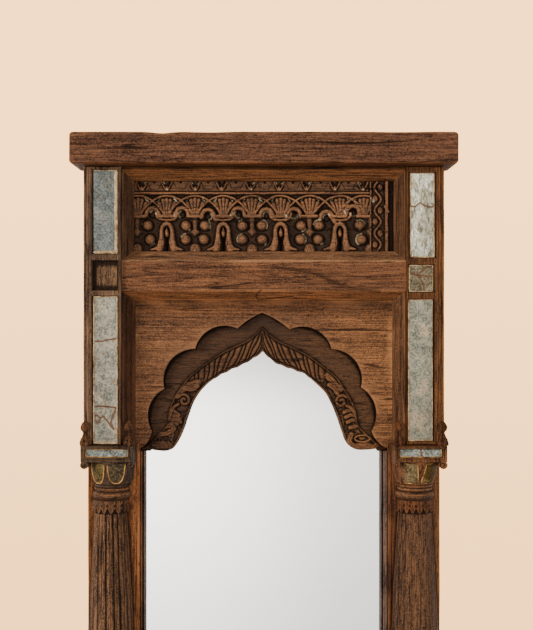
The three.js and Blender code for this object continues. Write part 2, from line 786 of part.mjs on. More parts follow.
function clipBlocks(side, room) {
  const centre = side * jambInnerX;
  const [halfLength, halfWidth] = [clipLength / 2 + room, clipWidth / 2 + room];
  return clipDrops.map((drop) => {
    const z = topZ - drop;
    return block(
      centre - halfLength, centre + halfLength, -room, clipThickness, z - halfWidth, z + halfWidth,
    );
  });
}

function clipPockets(side) {
  return clipBlocks(side, seatGap);
}

function addGlass() {
  const back = boardThickness + seatGap;
  const sheet = (from, to) => block(-glassHalf, glassHalf, from, to, glassBottomZ, glassTopZ);
  add('mirror_glass', sheet(back, back + glassThickness), silvered());
  const pockets = [...clipPockets(-1), ...clipPockets(1)];
  add('back_board', cut(sheet(0, boardThickness), ...pockets), plywood());
  const battenZ = glassTopZ + seatGap;
  const battenHalf = archHalfWidth - seatGap;
  const batten = block(-battenHalf, battenHalf, 0, glassFront, battenZ, battenZ + battenHeight);
  add('back_batten', batten, warmWood());
  add('sight_bead_bottom', block(
    -sightHalf, sightHalf, archBack, archBack + beadDepth, railTopZ, railTopZ + beadWidth,
  ), warmWood());
  for (const [side, name] of [[-1, 'left'], [1, 'right']]) {
    clipBlocks(side, 0).forEach((clip, i) => {
      const head = screwHead(side * (jambInnerX + clipLength / 4), topZ - clipDrops[i]);
      const level = ['upper', 'lower'][i];
      add(`board_clip_${level}_${name}`, join(clip, head), iron());
    });
    const pad = new THREE.CylinderGeometry(bumperRadius, bumperRadius, bumperThickness, 24);
    pad.translate(side * (jambOuterX - jambWidth / 2), bumperThickness / 2, bottomZ + bumperRise);
    add(`wall_bumper_${name}`, pad, felt());
  }
}

// A domed head that stands on the rear plane.
function screwHead(x, z) {
  const [out, up] = screwHeadProfileShares;
  const dome = new THREE.LatheGeometry([
    new THREE.Vector2(0, 0), new THREE.Vector2(screwHeadRadius, 0),
    new THREE.Vector2(screwHeadRadius * out, screwHeadHeight * up), new THREE.Vector2(0, screwHeadHeight),
  ], 14);
  dome.translate(x, 0, z);
  return dome;
}

// Hangers: a plate folded round the flat side of a ring, on two screws, on each post's back

const knuckleHole = ringWire / 2 + ringClearance;
const knuckleRadius = knuckleHole + plateThickness;
const hangerZ = postTopZ - hangerDrop;
const ringPivotZ = hangerZ - plateHeight / 2 - knuckleRadius;

function addHanger(side, name) {
  const x = side * (postInnerX + postWidth / 2);
  const strap = block(
    x - plateWidth / 2, x + plateWidth / 2, -plateThickness, 0,
    hangerZ - plateHeight / 2, hangerZ + plateHeight / 2,
  );
  const neck = block(x - knuckleLength / 2, x + knuckleLength / 2, -plateThickness, 0, ringPivotZ, hangerZ);
  const shoulder = block(
    x - knuckleLength / 2, x + knuckleLength / 2, -knuckleRadius, 0, ringPivotZ, ringPivotZ + knuckleRadius,
  );
  const rounds = [[knuckleRadius, knuckleLength], [knuckleHole, plateWidth]];
  const [roll, bore] = rounds.map(([radius, length]) => {
    const round = new THREE.CylinderGeometry(radius, radius, length, 16);
    round.rotateZ(Math.PI / 2);
    round.translate(x, knuckleRadius, ringPivotZ);
    return round;
  });
  const screws = [hangerZ + upperScrewRise, hangerZ - lowerScrewDrop];
  const holes = screws.map((z) => flushScrew(x, z, screwHoleClearance));
  add(`hanger_plate_${name}`, cut(join(strap, neck, shoulder, roll), bore, ...holes), iron());
  screws.forEach((z, i) => {
    add(`hanger_screw_${['upper', 'lower'][i]}_${name}`, flushScrew(x, z, 0), iron());
  });
  add(`ring_${name}`, ringGeometry(x), iron());
}

// A countersunk head flush with its plate; with some room round it, the hole that it sits in.
function flushScrew(x, z, room) {
  const shank = screwShankRadius + room;
  const past = room ? plateThickness : 0;
  const rim = new THREE.Vector2(shank + plateThickness, plateThickness);
  const outline = [new THREE.Vector2(0, -past), new THREE.Vector2(shank, -past)];
  if (past) outline.push(new THREE.Vector2(shank, 0));
  outline.push(rim);
  if (past) outline.push(new THREE.Vector2(rim.x, rim.y + past));
  outline.push(new THREE.Vector2(0, rim.y + past));
  const turned = new THREE.LatheGeometry(outline, 16);
  turned.translate(x, 0, z);
  return turned;
}

// A D-shaped ring that hangs from its flat side.
function ringGeometry(x) {
  const centre = [x, knuckleRadius, ringPivotZ];
  const route = [];
  const corner = ringWire;
  const turns = 18;
  const round = ringDrop - corner;
  for (let i = 0; i <= turns; i += 1) {
    const angle = Math.PI * i / turns;
    route.push([-ringHalf * Math.cos(angle), -corner - round * Math.sin(angle)]);
  }
  const near = corner * ringCornerShare;
  route.push([ringHalf - near, -near], [ringHalf - corner, 0]);
  route.push([corner - ringHalf, 0], [near - ringHalf, -near]);
  const sides = 8;
  const count = route.length;
  const positions = [];
  route.forEach(([a, b], i) => {
    const before = route[(i + count - 1) % count];
    const after = route[(i + 1) % count];
    const length = Math.hypot(after[0] - before[0], after[1] - before[1]);
    const out = [(after[1] - before[1]) / length, -(after[0] - before[0]) / length];
    for (let k = 0; k < sides; k += 1) {
      const turn = 2 * Math.PI * k / sides;
      const reach = ringWire / 2 * Math.cos(turn);
      positions.push(centre[0] + a + out[0] * reach);
      positions.push(centre[1] + ringWire / 2 * Math.sin(turn));
      positions.push(centre[2] + b + out[1] * reach);
    }
  });
  const faces = [];
  for (let i = 0; i < count; i += 1) {
    for (let k = 0; k < sides; k += 1) {
      const a = i * sides + k;
      const b = i * sides + ((k + 1) % sides);
      const c = ((i + 1) % count) * sides + ((k + 1) % sides);
      const d = ((i + 1) % count) * sides + k;
      faces.push(a, b, c, a, c, d);
    }
  }
  const geometry = new THREE.BufferGeometry();
  geometry.setAttribute('position', new THREE.Float32BufferAttribute(positions, 3));
  geometry.setIndex(faces);
  return geometry;
}

// The whole

addBeams();
addMouldings();
addFrieze();
addArchPanel();
addGlass();
for (const [side, name] of [[-1, 'left'], [1, 'right']]) {
  addPost(side, name);
  addPostPanes(side, name);
  addJamb(side, name);
  addCapital(side, name);
  addBell(side, name);
  addPetal(side, name, petalDegrees[0], 'outer');
  addPetal(side, name, petalDegrees[1], 'inner');
  addNeck(side, name);
  addShaft(side, name);
  addBase(side, name);
  addHanger(side, name);
}

export default wallMirror;
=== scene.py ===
import math

import bpy
import numpy as np
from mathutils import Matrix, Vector


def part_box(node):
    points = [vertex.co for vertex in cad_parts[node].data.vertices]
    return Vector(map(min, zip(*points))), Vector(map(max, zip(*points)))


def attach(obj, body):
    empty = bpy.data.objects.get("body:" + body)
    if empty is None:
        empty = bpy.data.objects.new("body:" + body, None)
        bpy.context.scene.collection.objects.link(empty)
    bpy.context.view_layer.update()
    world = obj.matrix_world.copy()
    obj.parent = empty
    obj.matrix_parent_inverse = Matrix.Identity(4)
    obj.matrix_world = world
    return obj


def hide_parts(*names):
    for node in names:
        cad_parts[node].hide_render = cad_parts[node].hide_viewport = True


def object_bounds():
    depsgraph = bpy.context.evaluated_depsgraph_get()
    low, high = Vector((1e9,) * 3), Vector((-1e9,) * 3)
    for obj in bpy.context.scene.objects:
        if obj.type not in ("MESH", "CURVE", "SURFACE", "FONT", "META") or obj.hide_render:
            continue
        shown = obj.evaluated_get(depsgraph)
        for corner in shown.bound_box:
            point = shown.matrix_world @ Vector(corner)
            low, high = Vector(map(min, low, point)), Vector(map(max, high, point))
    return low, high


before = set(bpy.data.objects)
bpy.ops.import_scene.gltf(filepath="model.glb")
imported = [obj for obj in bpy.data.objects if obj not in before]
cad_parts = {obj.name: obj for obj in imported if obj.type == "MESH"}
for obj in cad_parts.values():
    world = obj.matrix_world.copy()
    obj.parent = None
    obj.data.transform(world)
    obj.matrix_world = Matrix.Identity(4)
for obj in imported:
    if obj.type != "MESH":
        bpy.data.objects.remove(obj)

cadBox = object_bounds()
mm = 0.001
sides = ((-1, "left"), (1, "right"))
print("frame loaded")


# Shader expressions: a wire carries one socket, and sums on wires add their nodes.
class Wire:
    def __init__(self, tree, socket):
        self.tree = tree
        self.socket = socket

    def node(self, kind, settings=None, inlets=None, outlet=0):
        made = self.tree.nodes.new(kind)
        for key, value in (settings or {}).items():
            setattr(made, key, value)
        for key, value in (inlets or {}).items():
            socket = made.inputs[key]
            if isinstance(value, Wire):
                self.tree.links.new(value.socket, socket)
            elif isinstance(value, (tuple, list)) and socket.type == "RGBA":
                socket.default_value = (*value, 1)
            else:
                socket.default_value = value
        return Wire(self.tree, made.outputs[outlet]) if len(made.outputs) else None

    def calc(self, operation, *values):
        return self.node("ShaderNodeMath", {"operation": operation}, dict(enumerate(values)))

    def __add__(self, other):
        return self.calc("ADD", self, other)

    def __radd__(self, other):
        return self.calc("ADD", other, self)

    def __sub__(self, other):
        return self.calc("SUBTRACT", self, other)

    def __rsub__(self, other):
        return self.calc("SUBTRACT", other, self)

    def __mul__(self, other):
        return self.calc("MULTIPLY", self, other)

    def band(self, low, high):  # 0 below low, 1 above high, smooth between
        inlets = {"Value": self, "From Min": low, "From Max": high}
        settings = {"interpolation_type": "SMOOTHSTEP"}
        return self.node("ShaderNodeMapRange", settings, inlets)

    def between(self, first, second):  # colours: first where this wire is 0, second where it is 1
        return self.node("ShaderNodeMix", {"data_type": "RGBA"}, {"Factor": self, 6: first, 7: second}, 2)


def startMaterial(name):
    material = bpy.data.materials.new(name)
    material.use_nodes = True
    tree = material.node_tree
    tree.nodes.clear()
    where = Wire(tree, None).node("ShaderNodeTexCoord", outlet="Object")
    return material, where


def finishMaterial(material, where, surface, height=None, bumpStrength=0.5, bumpDistance=0.001):
    if height is not None:
        bump = {"Height": height, "Strength": bumpStrength, "Distance": bumpDistance}
        surface["Normal"] = where.node("ShaderNodeBump", None, bump)
    shader = where.node("ShaderNodeBsdfPrincipled", None, surface)
    where.node("ShaderNodeOutputMaterial", None, {"Surface": shader})
    return material


# Numbers and meshes. Lengths are in millimetres here and become metres in makeMesh.
def hashed(ix, iy, iz, seed):
    n = (ix * 374761393 + iy * 668265263 + iz * 1274126177 + seed * 974634777) & 0xffffffff
    n = ((n ^ (n >> 13)) * 1103515245) & 0xffffffff
    n = ((n ^ (n >> 16)) * 69069 + 12345) & 0xffffffff
    return ((n >> 8) & 0xffff) / 32767.5 - 1


def rough(x, y, z, cell, seed, octaves=1):  # smooth noise from -1 to 1; cell gives a size for each axis
    total, weight, out = 0.0, 1.0, 0
    for octave in range(octaves):
        coords = [np.asarray(v, float) / (c / 2 ** octave) for v, c in zip((x, y, z), cell)]
        coords = np.broadcast_arrays(*coords)
        whole = [np.floor(v).astype(np.int64) for v in coords]
        part = [v - w for v, w in zip(coords, whole)]
        part = [v * v * (3 - 2 * v) for v in part]
        value = 0
        for dx in (0, 1):
            for dy in (0, 1):
                for dz in (0, 1):
                    share = (part[0] if dx else 1 - part[0]) * (part[1] if dy else 1 - part[1])
                    share = share * (part[2] if dz else 1 - part[2])
                    corner = hashed(whole[0] + dx, whole[1] + dy, whole[2] + dz, seed + octave * 17)
                    value = value + share * corner
        out = out + value * weight
        total += weight
        weight *= 0.5
    return out / total


def uneven(x, z, cell, seed, octaves=3):  # how far a front falls back, from 0 to 2
    return 1 + rough(x, 0, z, (cell[0], 1, cell[1]), seed, octaves)


sharpDegrees = 38
wear = {"longestEdge": 12, "nearRounds": 3, "wideRounds": 14, "worn": (1.6, 0.35), "hollow": (1.3, 0.45)}


def makeMesh(name, points, faces):
    mesh = bpy.data.meshes.new(name)
    mesh.from_pydata((np.asarray(points, float) * mm).tolist(), [], faces)
    mesh.update()
    mesh.polygons.foreach_set("use_smooth", [True] * len(mesh.polygons))
    mesh.set_sharp_from_angle(angle=math.radians(sharpDegrees))
    weather(mesh)
    return mesh


# Stores how far each point stands proud of its surroundings (worn) or lies below them (hollow).
def weather(mesh):
    count = len(mesh.vertices)
    points = np.empty(count * 3)
    mesh.vertices.foreach_get("co", points)
    points = points.reshape(-1, 3) / mm
    normals = np.empty(count * 3)
    mesh.vertex_normals.foreach_get("vector", normals)
    normals = normals.reshape(-1, 3)
    edges = np.empty(len(mesh.edges) * 2, np.int64)
    mesh.edges.foreach_get("vertices", edges)
    edges = edges.reshape(-1, 2)
    lengths = np.linalg.norm(points[edges[:, 0]] - points[edges[:, 1]], axis=1)
    edges = edges[lengths < wear["longestEdge"]]
    first = np.concatenate([edges[:, 0], edges[:, 1]])
    second = np.concatenate([edges[:, 1], edges[:, 0]])
    degree = np.maximum(np.bincount(first, minlength=count), 1)

    def blurred(field, rounds):
        for _ in range(rounds):
            total = [np.bincount(first, field[second, k], count) for k in range(field.shape[1])]
            field = 0.4 * field + 0.6 * np.stack(total, 1) / degree[:, None]
        return field

    near = blurred(points, wear["nearRounds"])
    wide = blurred(near, wear["wideRounds"])
    fine = np.einsum("ij,ij->i", normals, points - near)
    broad = np.einsum("ij,ij->i", normals, points - wide)
    for label, sign in (("worn", 1), ("hollow", -1)):
        onFine, onBroad = wear[label]
        values = unit(sign * fine * onFine + sign * broad * onBroad)
        store(mesh, label, blurred(values[:, None], 1)[:, 0])


# Puts a piece in the scene; node is the CAD node that it stands for.
def place(mesh, finish, node=None, body="frame"):
    mesh.materials.append(finishes[finish])
    piece = bpy.data.objects.new(mesh.name, mesh)
    bpy.context.scene.collection.objects.link(piece)
    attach(piece, body)
    if node:
        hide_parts(node)


def store(mesh, label, values):  # a value at each point of a piece, for its finish
    layer = mesh.attributes.new(label, "FLOAT", "POINT")
    layer.data.foreach_set("value", np.asarray(values, np.float32))


black = (0, 0, 0)


# Each zone has how much of it each point is in, and its factors on red, green and blue.
def tintMesh(mesh, zones):
    gain = np.zeros((len(mesh.vertices), 3))
    for share, factors in zones:
        share = np.broadcast_to(share, len(gain))[:, None]
        gain = gain * (1 - share) + (np.array(factors) - 1) * share
    layer = mesh.attributes.new("tint", "FLOAT_VECTOR", "POINT")
    layer.data.foreach_set("vector", gain.ravel())


def spotsOf(mesh):  # x, depth direction and z of the points of a mesh, in millimetres
    spots = np.empty(len(mesh.vertices) * 3)
    mesh.vertices.foreach_get("co", spots)
    return spots.reshape(-1, 3) / mm


def gridFaces(grid):  # the numbers of a grid's points, its faces and the points round its edge
    index = np.arange(grid.shape[0] * grid.shape[1]).reshape(grid.shape[:2])
    quads = np.stack([index[:-1, :-1], index[1:, :-1], index[1:, 1:], index[:-1, 1:]], -1).reshape(-1, 4)
    return index, quads, np.concatenate([index[0, :], index[1:, -1], index[-1, -2::-1], index[-2:0:-1, 0]])


# Closes a grid of points with walls back to a flat rear at the given depth, and a rear face.
def closeGrid(grid, rear, wallSteps):
    index, quads, rim = gridFaces(grid)
    points = [grid.reshape(-1, 3)]
    faces = quads.tolist()
    start = points[0][rim]
    for step in range(1, wallSteps + 1):
        ring = start.copy()
        ring[:, 1] += (-rear - start[:, 1]) * step / wallSteps
        points.append(ring)
        following = np.arange(len(rim)) + index.size + (step - 1) * len(rim)
        faces += np.stack([rim, np.roll(rim, -1), np.roll(following, -1), following], -1).tolist()
        rim = following
    faces.append(rim.tolist())
    return np.concatenate(points), faces


# Closes a grid with a second sheet behind it, offset by a vector at each point.
def closeShell(grid, offset):
    index, quads, rim = gridFaces(grid)
    after, count = np.roll(rim, -1), index.size
    walls = np.stack([rim, after, after + count, rim + count], -1)
    faces = quads.tolist() + (quads[:, ::-1] + count).tolist() + walls.tolist()
    return np.concatenate([grid.reshape(-1, 3), (grid + offset).reshape(-1, 3)]), faces


# Half of a turned piece on the jamb's face; the offset is a function of angle and height.
def halfTurn(name, axisX, z, levels, profile, offset, steps):
    turn, level = np.meshgrid(np.linspace(0, math.pi, steps + 1), np.linspace(*z, levels))
    rear = column["rear"]
    half, reach = profile(level)
    push = offset(turn, level)
    grid = np.stack([axisX + (half + push) * np.cos(turn), -rear - (reach + push) * np.sin(turn), level], -1)
    index, quads, _ = gridFaces(grid)
    ends = [index[0, :], index[-1, ::-1], np.concatenate([index[:, -1], index[::-1, 0]])]
    return closedMesh(name, grid, quads.tolist() + [end.tolist() for end in ends])


def outward(points, faces):  # turns the faces round if the closed shape is inside out
    points = np.asarray(points, float) - np.mean(points, 0)
    quads = np.array([face for face in faces if len(face) == 4]).reshape(-1, 4)
    fans = [quads[:, [0, 1, 2]], quads[:, [0, 2, 3]]]
    for face in faces:
        if len(face) != 4:
            fans.append(np.array([(face[0], b, c) for b, c in zip(face[1:-1], face[2:])]))
    a, b, c = (points[np.concatenate(fans)[:, k]] for k in range(3))
    inside = np.einsum("ij,ij->i", a, np.cross(b, c)).sum() < 0
    return [list(face)[::-1] for face in faces] if inside else faces


def closedMesh(name, points, faces):
    points = np.reshape(points, (-1, 3))
    return makeMesh(name, points, outward(points, faces))


def breaks(low, high, step, marks=(), fine=0.4, softness=3):  # grid lines, doubled up at marks and ends
    lines = list(np.linspace(low, high, max(2, int(round((high - low) / step)) + 1)))
    for mark in marks:
        lines += [mark - fine, mark, mark + fine]
    for end, way in ((low, 1), (high, -1)):
        lines += [end + way * softness * share for share in (0.12, 0.3, 0.6, 1.0)]
    lines = sorted(v for v in lines if low <= v <= high)
    kept = [lines[0]]
    for v in lines[1:]:
        if v - kept[-1] > fine * 0.45:
            kept.append(v)
    kept[-1] = high
    return np.array(kept)


def unit(value):  # no less than 0 and no more than 1
    return np.clip(value, 0, 1)


def hump(value, at, wide):  # 1 where the value is there, and less on either side
    return np.exp(-((value - at) / wide) ** 2)


def shareOf(value, ends):  # how far a value lies between two ends
    return (value - ends[0]) / (ends[1] - ends[0])


def insideOf(gx, gz, x, z):  # how far points lie inside a rectangle
    return np.minimum(np.minimum(gx - x[0], x[1] - gx), np.minimum(gz - z[0], z[1] - gz))


def fromEdge(gx, x, sign):  # distance from a piece's edge, the left one where the sign is -1
    return gx - x[0] if sign < 0 else x[1] - gx


def roundedDrop(distance, radius):  # how far a rounded edge falls back at a distance from it
    inside = unit(1 - np.asarray(distance) / radius)
    return radius * (1 - np.sqrt(unit(1 - inside ** 2)))


# A slab seen from the front: depth is a function of x and z; its outline wanders a little inwards.
def slab(name, x, z, step, depth, rear, marksX=(), marksZ=(), wander=0.5, seed=1, wallSteps=6, edge=3):
    acrossX = breaks(*x, step[0], marksX, softness=edge)
    acrossZ = breaks(*z, step[1], marksZ, softness=edge)
    gx, gz = np.meshgrid(acrossX, acrossZ)
    front = depth(gx, gz) - roundedDrop(insideOf(gx, gz, x, z), edge)
    points, faces = closeGrid(np.stack([gx, -front, gz], -1), rear, wallSteps)
    px, py, pz = points.T.copy()
    drifts = (rough(px * 0, py, pz, (1, 60, 70), seed, 3), rough(px, py, pz * 0, (70, 60, 1), seed + 5, 3))
    for axis, (low, high), drift in ((0, x, drifts[0]), (2, z, drifts[1])):
        away = points[:, axis] - (low + high) / 2
        reach = unit(np.abs(away) / (high - low) * 2)
        points[:, axis] -= np.sign(away) * (1 + drift) * wander * reach ** 6
    return closedMesh(name, points, faces)


# Finishes
def tone(red, green, blue):  # a screen colour from 0 to 255 as the shader needs it
    return tuple(((v / 255 + 0.055) / 1.055) ** 2.4 if v > 10 else v / 255 / 12.92
                 for v in (red, green, blue))


def stretched(where, along, across, axis, shift=0.0):
    scale = tuple(along if name == axis else across for name in "xyz")
    inlets = {"Vector": where, "Scale": scale, "Location": (shift, shift * 0.7, shift * 1.3)}
    return where.node("ShaderNodeMapping", None, inlets)


def clouds(vector, detail=4.0, roughness=0.55, distortion=0.0):
    inlets = {"Vector": vector, "Scale": 1.0, "Detail": detail, "Roughness": roughness,
              "Distortion": distortion}
    return vector.node("ShaderNodeTexNoise", None, inlets)


def stored(where, label, outlet="Fac"):
    return where.node("ShaderNodeAttribute", {"attribute_name": label}, outlet=outlet)


def tinted(where, color):  # the colour changed by what tintMesh stored, which is nothing without it
    inlets = {0: color, 1: stored(where, "tint", "Vector"), 2: color}
    return where.node("ShaderNodeVectorMath", {"operation": "MULTIPLY_ADD"}, inlets)


wood = {
    "deep": tone(38, 24, 16), "mid": tone(98, 63, 40), "warm": tone(145, 93, 57),
    "smoke": tone(60, 46, 37), "dirt": tone(22, 15, 11), "edge": tone(168, 112, 70),
    "paint": tone(192, 172, 138), "shadeTone": tone(56, 40, 29), "smokeShare": 0.5, "figureShare": 0.35,
    "paintShare": 0.0, "wornShare": 0.6, "dirtShare": 0.9, "crackShare": 0.8, "dashShare": 0.75,
    "along": 6.5, "across": 210.0, "bump": 0.7, "roughness": 0.66, "gloss": 0.1, "contrast": 1.0,
    "tint": (1, 1, 1),
}


def woodFinish(name, axis, shift=0.0, **changes):
    look = {**wood, **changes}
    for key in ("deep", "mid", "warm", "edge", "smoke", "shadeTone"):
        look[key] = tuple(v * t for v, t in zip(look[key], look["tint"]))
    across = look["across"]
    material, where = startMaterial(name)

    def grainOf(along, over, step, detail=3, roughness=0.6, distortion=0.3):
        return clouds(stretched(where, along, over, axis, shift + step), detail, roughness, distortion)

    grain = grainOf(look["along"], across * 1.45, 0, 3, 0.6)
    fine = grainOf(34, across * 2.6, 3, 2)
    speck = grainOf(330, 400, 5, 1, 0.5, 0)
    streaks = grainOf(2.4, 58, 7, 4)
    swirl = grainOf(1.1, 10, 11, 2, 0.5, 0.6)
    figure = where.calc("SINE", swirl * 80) * 0.5 + 0.5
    dashes = grainOf(34, across * 1.35, 17, 1, 0.5, 0.1).band(0.63, 0.7)
    pits = grainOf(110, 150, 23, 2).band(0.66, 0.72)
    split = grainOf(1.7, 30, 29, 1, 0.5, 0.5)
    cracks = 1 - where.calc("ABSOLUTE", split - 0.5).band(0.004, 0.02)
    patches = grainOf(4.5, 8.5, 37, 3, 0.55).band(0.5, 0.72)
    blotch = grainOf(9, 18, 41, 1, 0.5)
    worn, hollow, soot = (stored(where, label) for label in ("worn", "hollow", "soot"))
    mixed = grain * 0.85 + fine * 0.65 + speck * 0.7 + streaks * 0.06 + blotch * 0.2
    mixed = mixed - 0.095 + (figure - 0.5) * look["figureShare"] * 0.16
    mixed = (mixed - 1.1) * look["contrast"] + 1.1
    color = mixed.band(0.86, 1.14).between(look["deep"], look["mid"])
    color = mixed.band(1.08, 1.42).between(color, look["warm"])
    color = (patches * blotch.band(0.3, 0.6) * look["smokeShare"]).between(color, look["smoke"])
    color = (worn * blotch.band(0.35, 0.62) * look["wornShare"]).between(color, look["edge"])
    # Painted shade: where a carved piece stores this value the colour darkens. The panes use the same value
    # for their cracks.
    color = (soot * (blotch * 0.5 + 0.6)).between(color, look["shadeTone"])
    color = (dashes * look["dashShare"]).between(color, look["deep"])
    color = (cracks * streaks.band(0.5, 0.56) * look["crackShare"]).between(color, look["dirt"])
    color = (pits * 0.5).between(color, look["dirt"])
    color = tinted(where, color)
    # Hollows and creases darken: grime and painted shade.
    color = (hollow.band(0.05, 0.8) * look["dirtShare"]).between(color, look["dirt"])
    if look["paintShare"]:
        smear = clouds(stretched(where, 170, 170, axis, shift + 31), 2, 0.7).band(0.38, 0.54)
        lodged = stored(where, "paint") * smear
        color = (lodged * look["paintShare"]).between(color, look["paint"])
    height = grain * 0.7 + fine * 0.25 + streaks * 0.3 - dashes * 0.4 - cracks * 0.5 - pits * 0.4
    gloss = look["roughness"] + (grain - 0.5) * 0.25 + hollow * 0.25 - worn * 0.12
    surface = {"Base Color": color, "Roughness": gloss, "Specular IOR Level": look["gloss"]}
    return finishMaterial(material, where, surface, height, look["bump"], 0.0014)


agedMirror = {
    "silver": tone(146, 158, 158), "dark": tone(78, 84, 80), "pale": tone(196, 198, 190),
    "rust": tone(128, 98, 66), "fox": tone(196, 170, 134), "crack": tone(92, 58, 36), "cloud": 26.0,
    "metal": 0.3, "grainSize": 240.0, "creaseShare": 0.55, "foxShare": 0.6, "stretch": 1.0, "tint": (1, 1, 1),
}


def agedMirrorFinish(name, shift=0.0, **changes):  # silvering that has gone cloudy, crumpled and spotted
    look = {**agedMirror, **changes}
    for key in ("silver", "dark", "pale", "fox"):
        look[key] = tuple(v * t for v, t in zip(look[key], look["tint"]))
    material, where = startMaterial(name)

    def spread(scale, step, detail=3, roughness=0.6, distortion=0.0):
        vector = stretched(where, scale * look["stretch"], scale, "z", shift + step)
        return clouds(vector, detail, roughness, distortion)

    cloud = spread(look["cloud"], 0, 3, 0.6, 0.5)
    crumple = spread(64, 5, 3, 0.6, 2.2)
    creases = 1 - where.calc("ABSOLUTE", crumple - 0.5).band(0.005, 0.06)
    grains = spread(look["grainSize"], 7, 2, 0.7)
    spots = spread(90, 9, 2).band(0.64, 0.72)
    foxing = spread(24, 13, 3, 0.6, 0.4).band(0.54, 0.68) * grains.band(0.3, 0.55)
    cracked = stored(where, "soot")
    mixed = cloud * 0.4 + crumple * 0.5 + grains * 0.6
    color = mixed.band(0.6, 0.86).between(look["dark"], look["silver"])
    shine = creases * grains.band(0.42, 0.6) * cloud.band(0.42, 0.6) * look["creaseShare"]
    color = shine.between(color, look["pale"])
    color = (crumple.band(0.56, 0.7) * cloud.band(0.45, 0.62) * 0.8).between(color, look["pale"])
    color = (foxing * look["foxShare"]).between(color, look["fox"])
    color = (spots * 0.7).between(color, look["rust"])
    color = tinted(where, (cracked * 0.9).between(color, look["crack"]))
    surface = {"Base Color": color, "Metallic": (1 - spots) * (1 - foxing) * (1 - cracked) * look["metal"],
               "Specular IOR Level": look["metal"] * 0.8, "Roughness": 0.34 + grains * 0.3}
    return finishMaterial(material, where, surface, crumple * 1.2 + grains * 0.5, 0.6, 0.0014)


def puttyFinish(name, pale=tone(206, 176, 134), dark=tone(120, 84, 50)):
    material, where = startMaterial(name)
    lumps = clouds(stretched(where, 180, 180, "x", 4), 4, 0.65)
    stains = clouds(stretched(where, 50, 50, "x", 9), 3, 0.6)
    color = (stains * 0.6 + lumps * 0.4).band(0.36, 0.62).between(dark, pale)
    surface = {"Base Color": color, "Roughness": 0.85}
    return finishMaterial(material, where, surface, lumps, 0.6, 0.0008)


def mirrorFinish():
    material, where = startMaterial("clearMirror")
    haze = clouds(stretched(where, 3, 3, "x", 2), 2, 0.5)
    surface = {"Base Color": haze.between(tone(243, 243, 243), tone(247, 247, 246)), "Metallic": 1.0,
               "Roughness": 0.015 + haze * 0.02}
    return finishMaterial(material, where, surface)


def ironFinish():
    material, where = startMaterial("dullZinc")
    grains = clouds(stretched(where, 420, 420, "x", 3), 4, 0.7)
    bloom = clouds(stretched(where, 70, 70, "x", 8), 3, 0.6)
    color = (bloom * 0.6 + grains * 0.4).band(0.35, 0.65).between(tone(72, 68, 62), tone(136, 132, 124))
    surface = {"Base Color": color, "Metallic": 0.85 - bloom * 0.3, "Roughness": 0.35 + grains * 0.35}
    return finishMaterial(material, where, surface, grains, 0.3, 0.0004)


def feltFinish():
    material, where = startMaterial("pressedFelt")
    hairs = clouds(stretched(where, 900, 900, "x", 1), 4, 0.8)
    color = hairs.band(0.3, 0.7).between(tone(30, 26, 23), tone(70, 62, 54))
    surface = {"Base Color": color, "Roughness": 0.95}
    return finishMaterial(material, where, surface, hairs, 0.8, 0.0008)


def boardFinish():
    material, where = startMaterial("rawBoard")
    fibres = clouds(stretched(where, 7, 160, "z", 3), 5, 0.6, 0.2)
    bands = clouds(stretched(where, 1.2, 9, "z", 6), 3, 0.5, 1.0)
    waves = where.calc("SINE", bands * 60) * 0.5 + 0.5
    mixed = fibres * 0.55 + bands * 0.25 + waves * 0.2
    color = mixed.band(0.3, 0.7).between(tone(132, 98, 62), tone(196, 164, 120))
    surface = {"Base Color": color, "Roughness": 0.75 + fibres * 0.15}
    return finishMaterial(material, where, surface, fibres + waves * 0.3, 0.35, 0.0006)


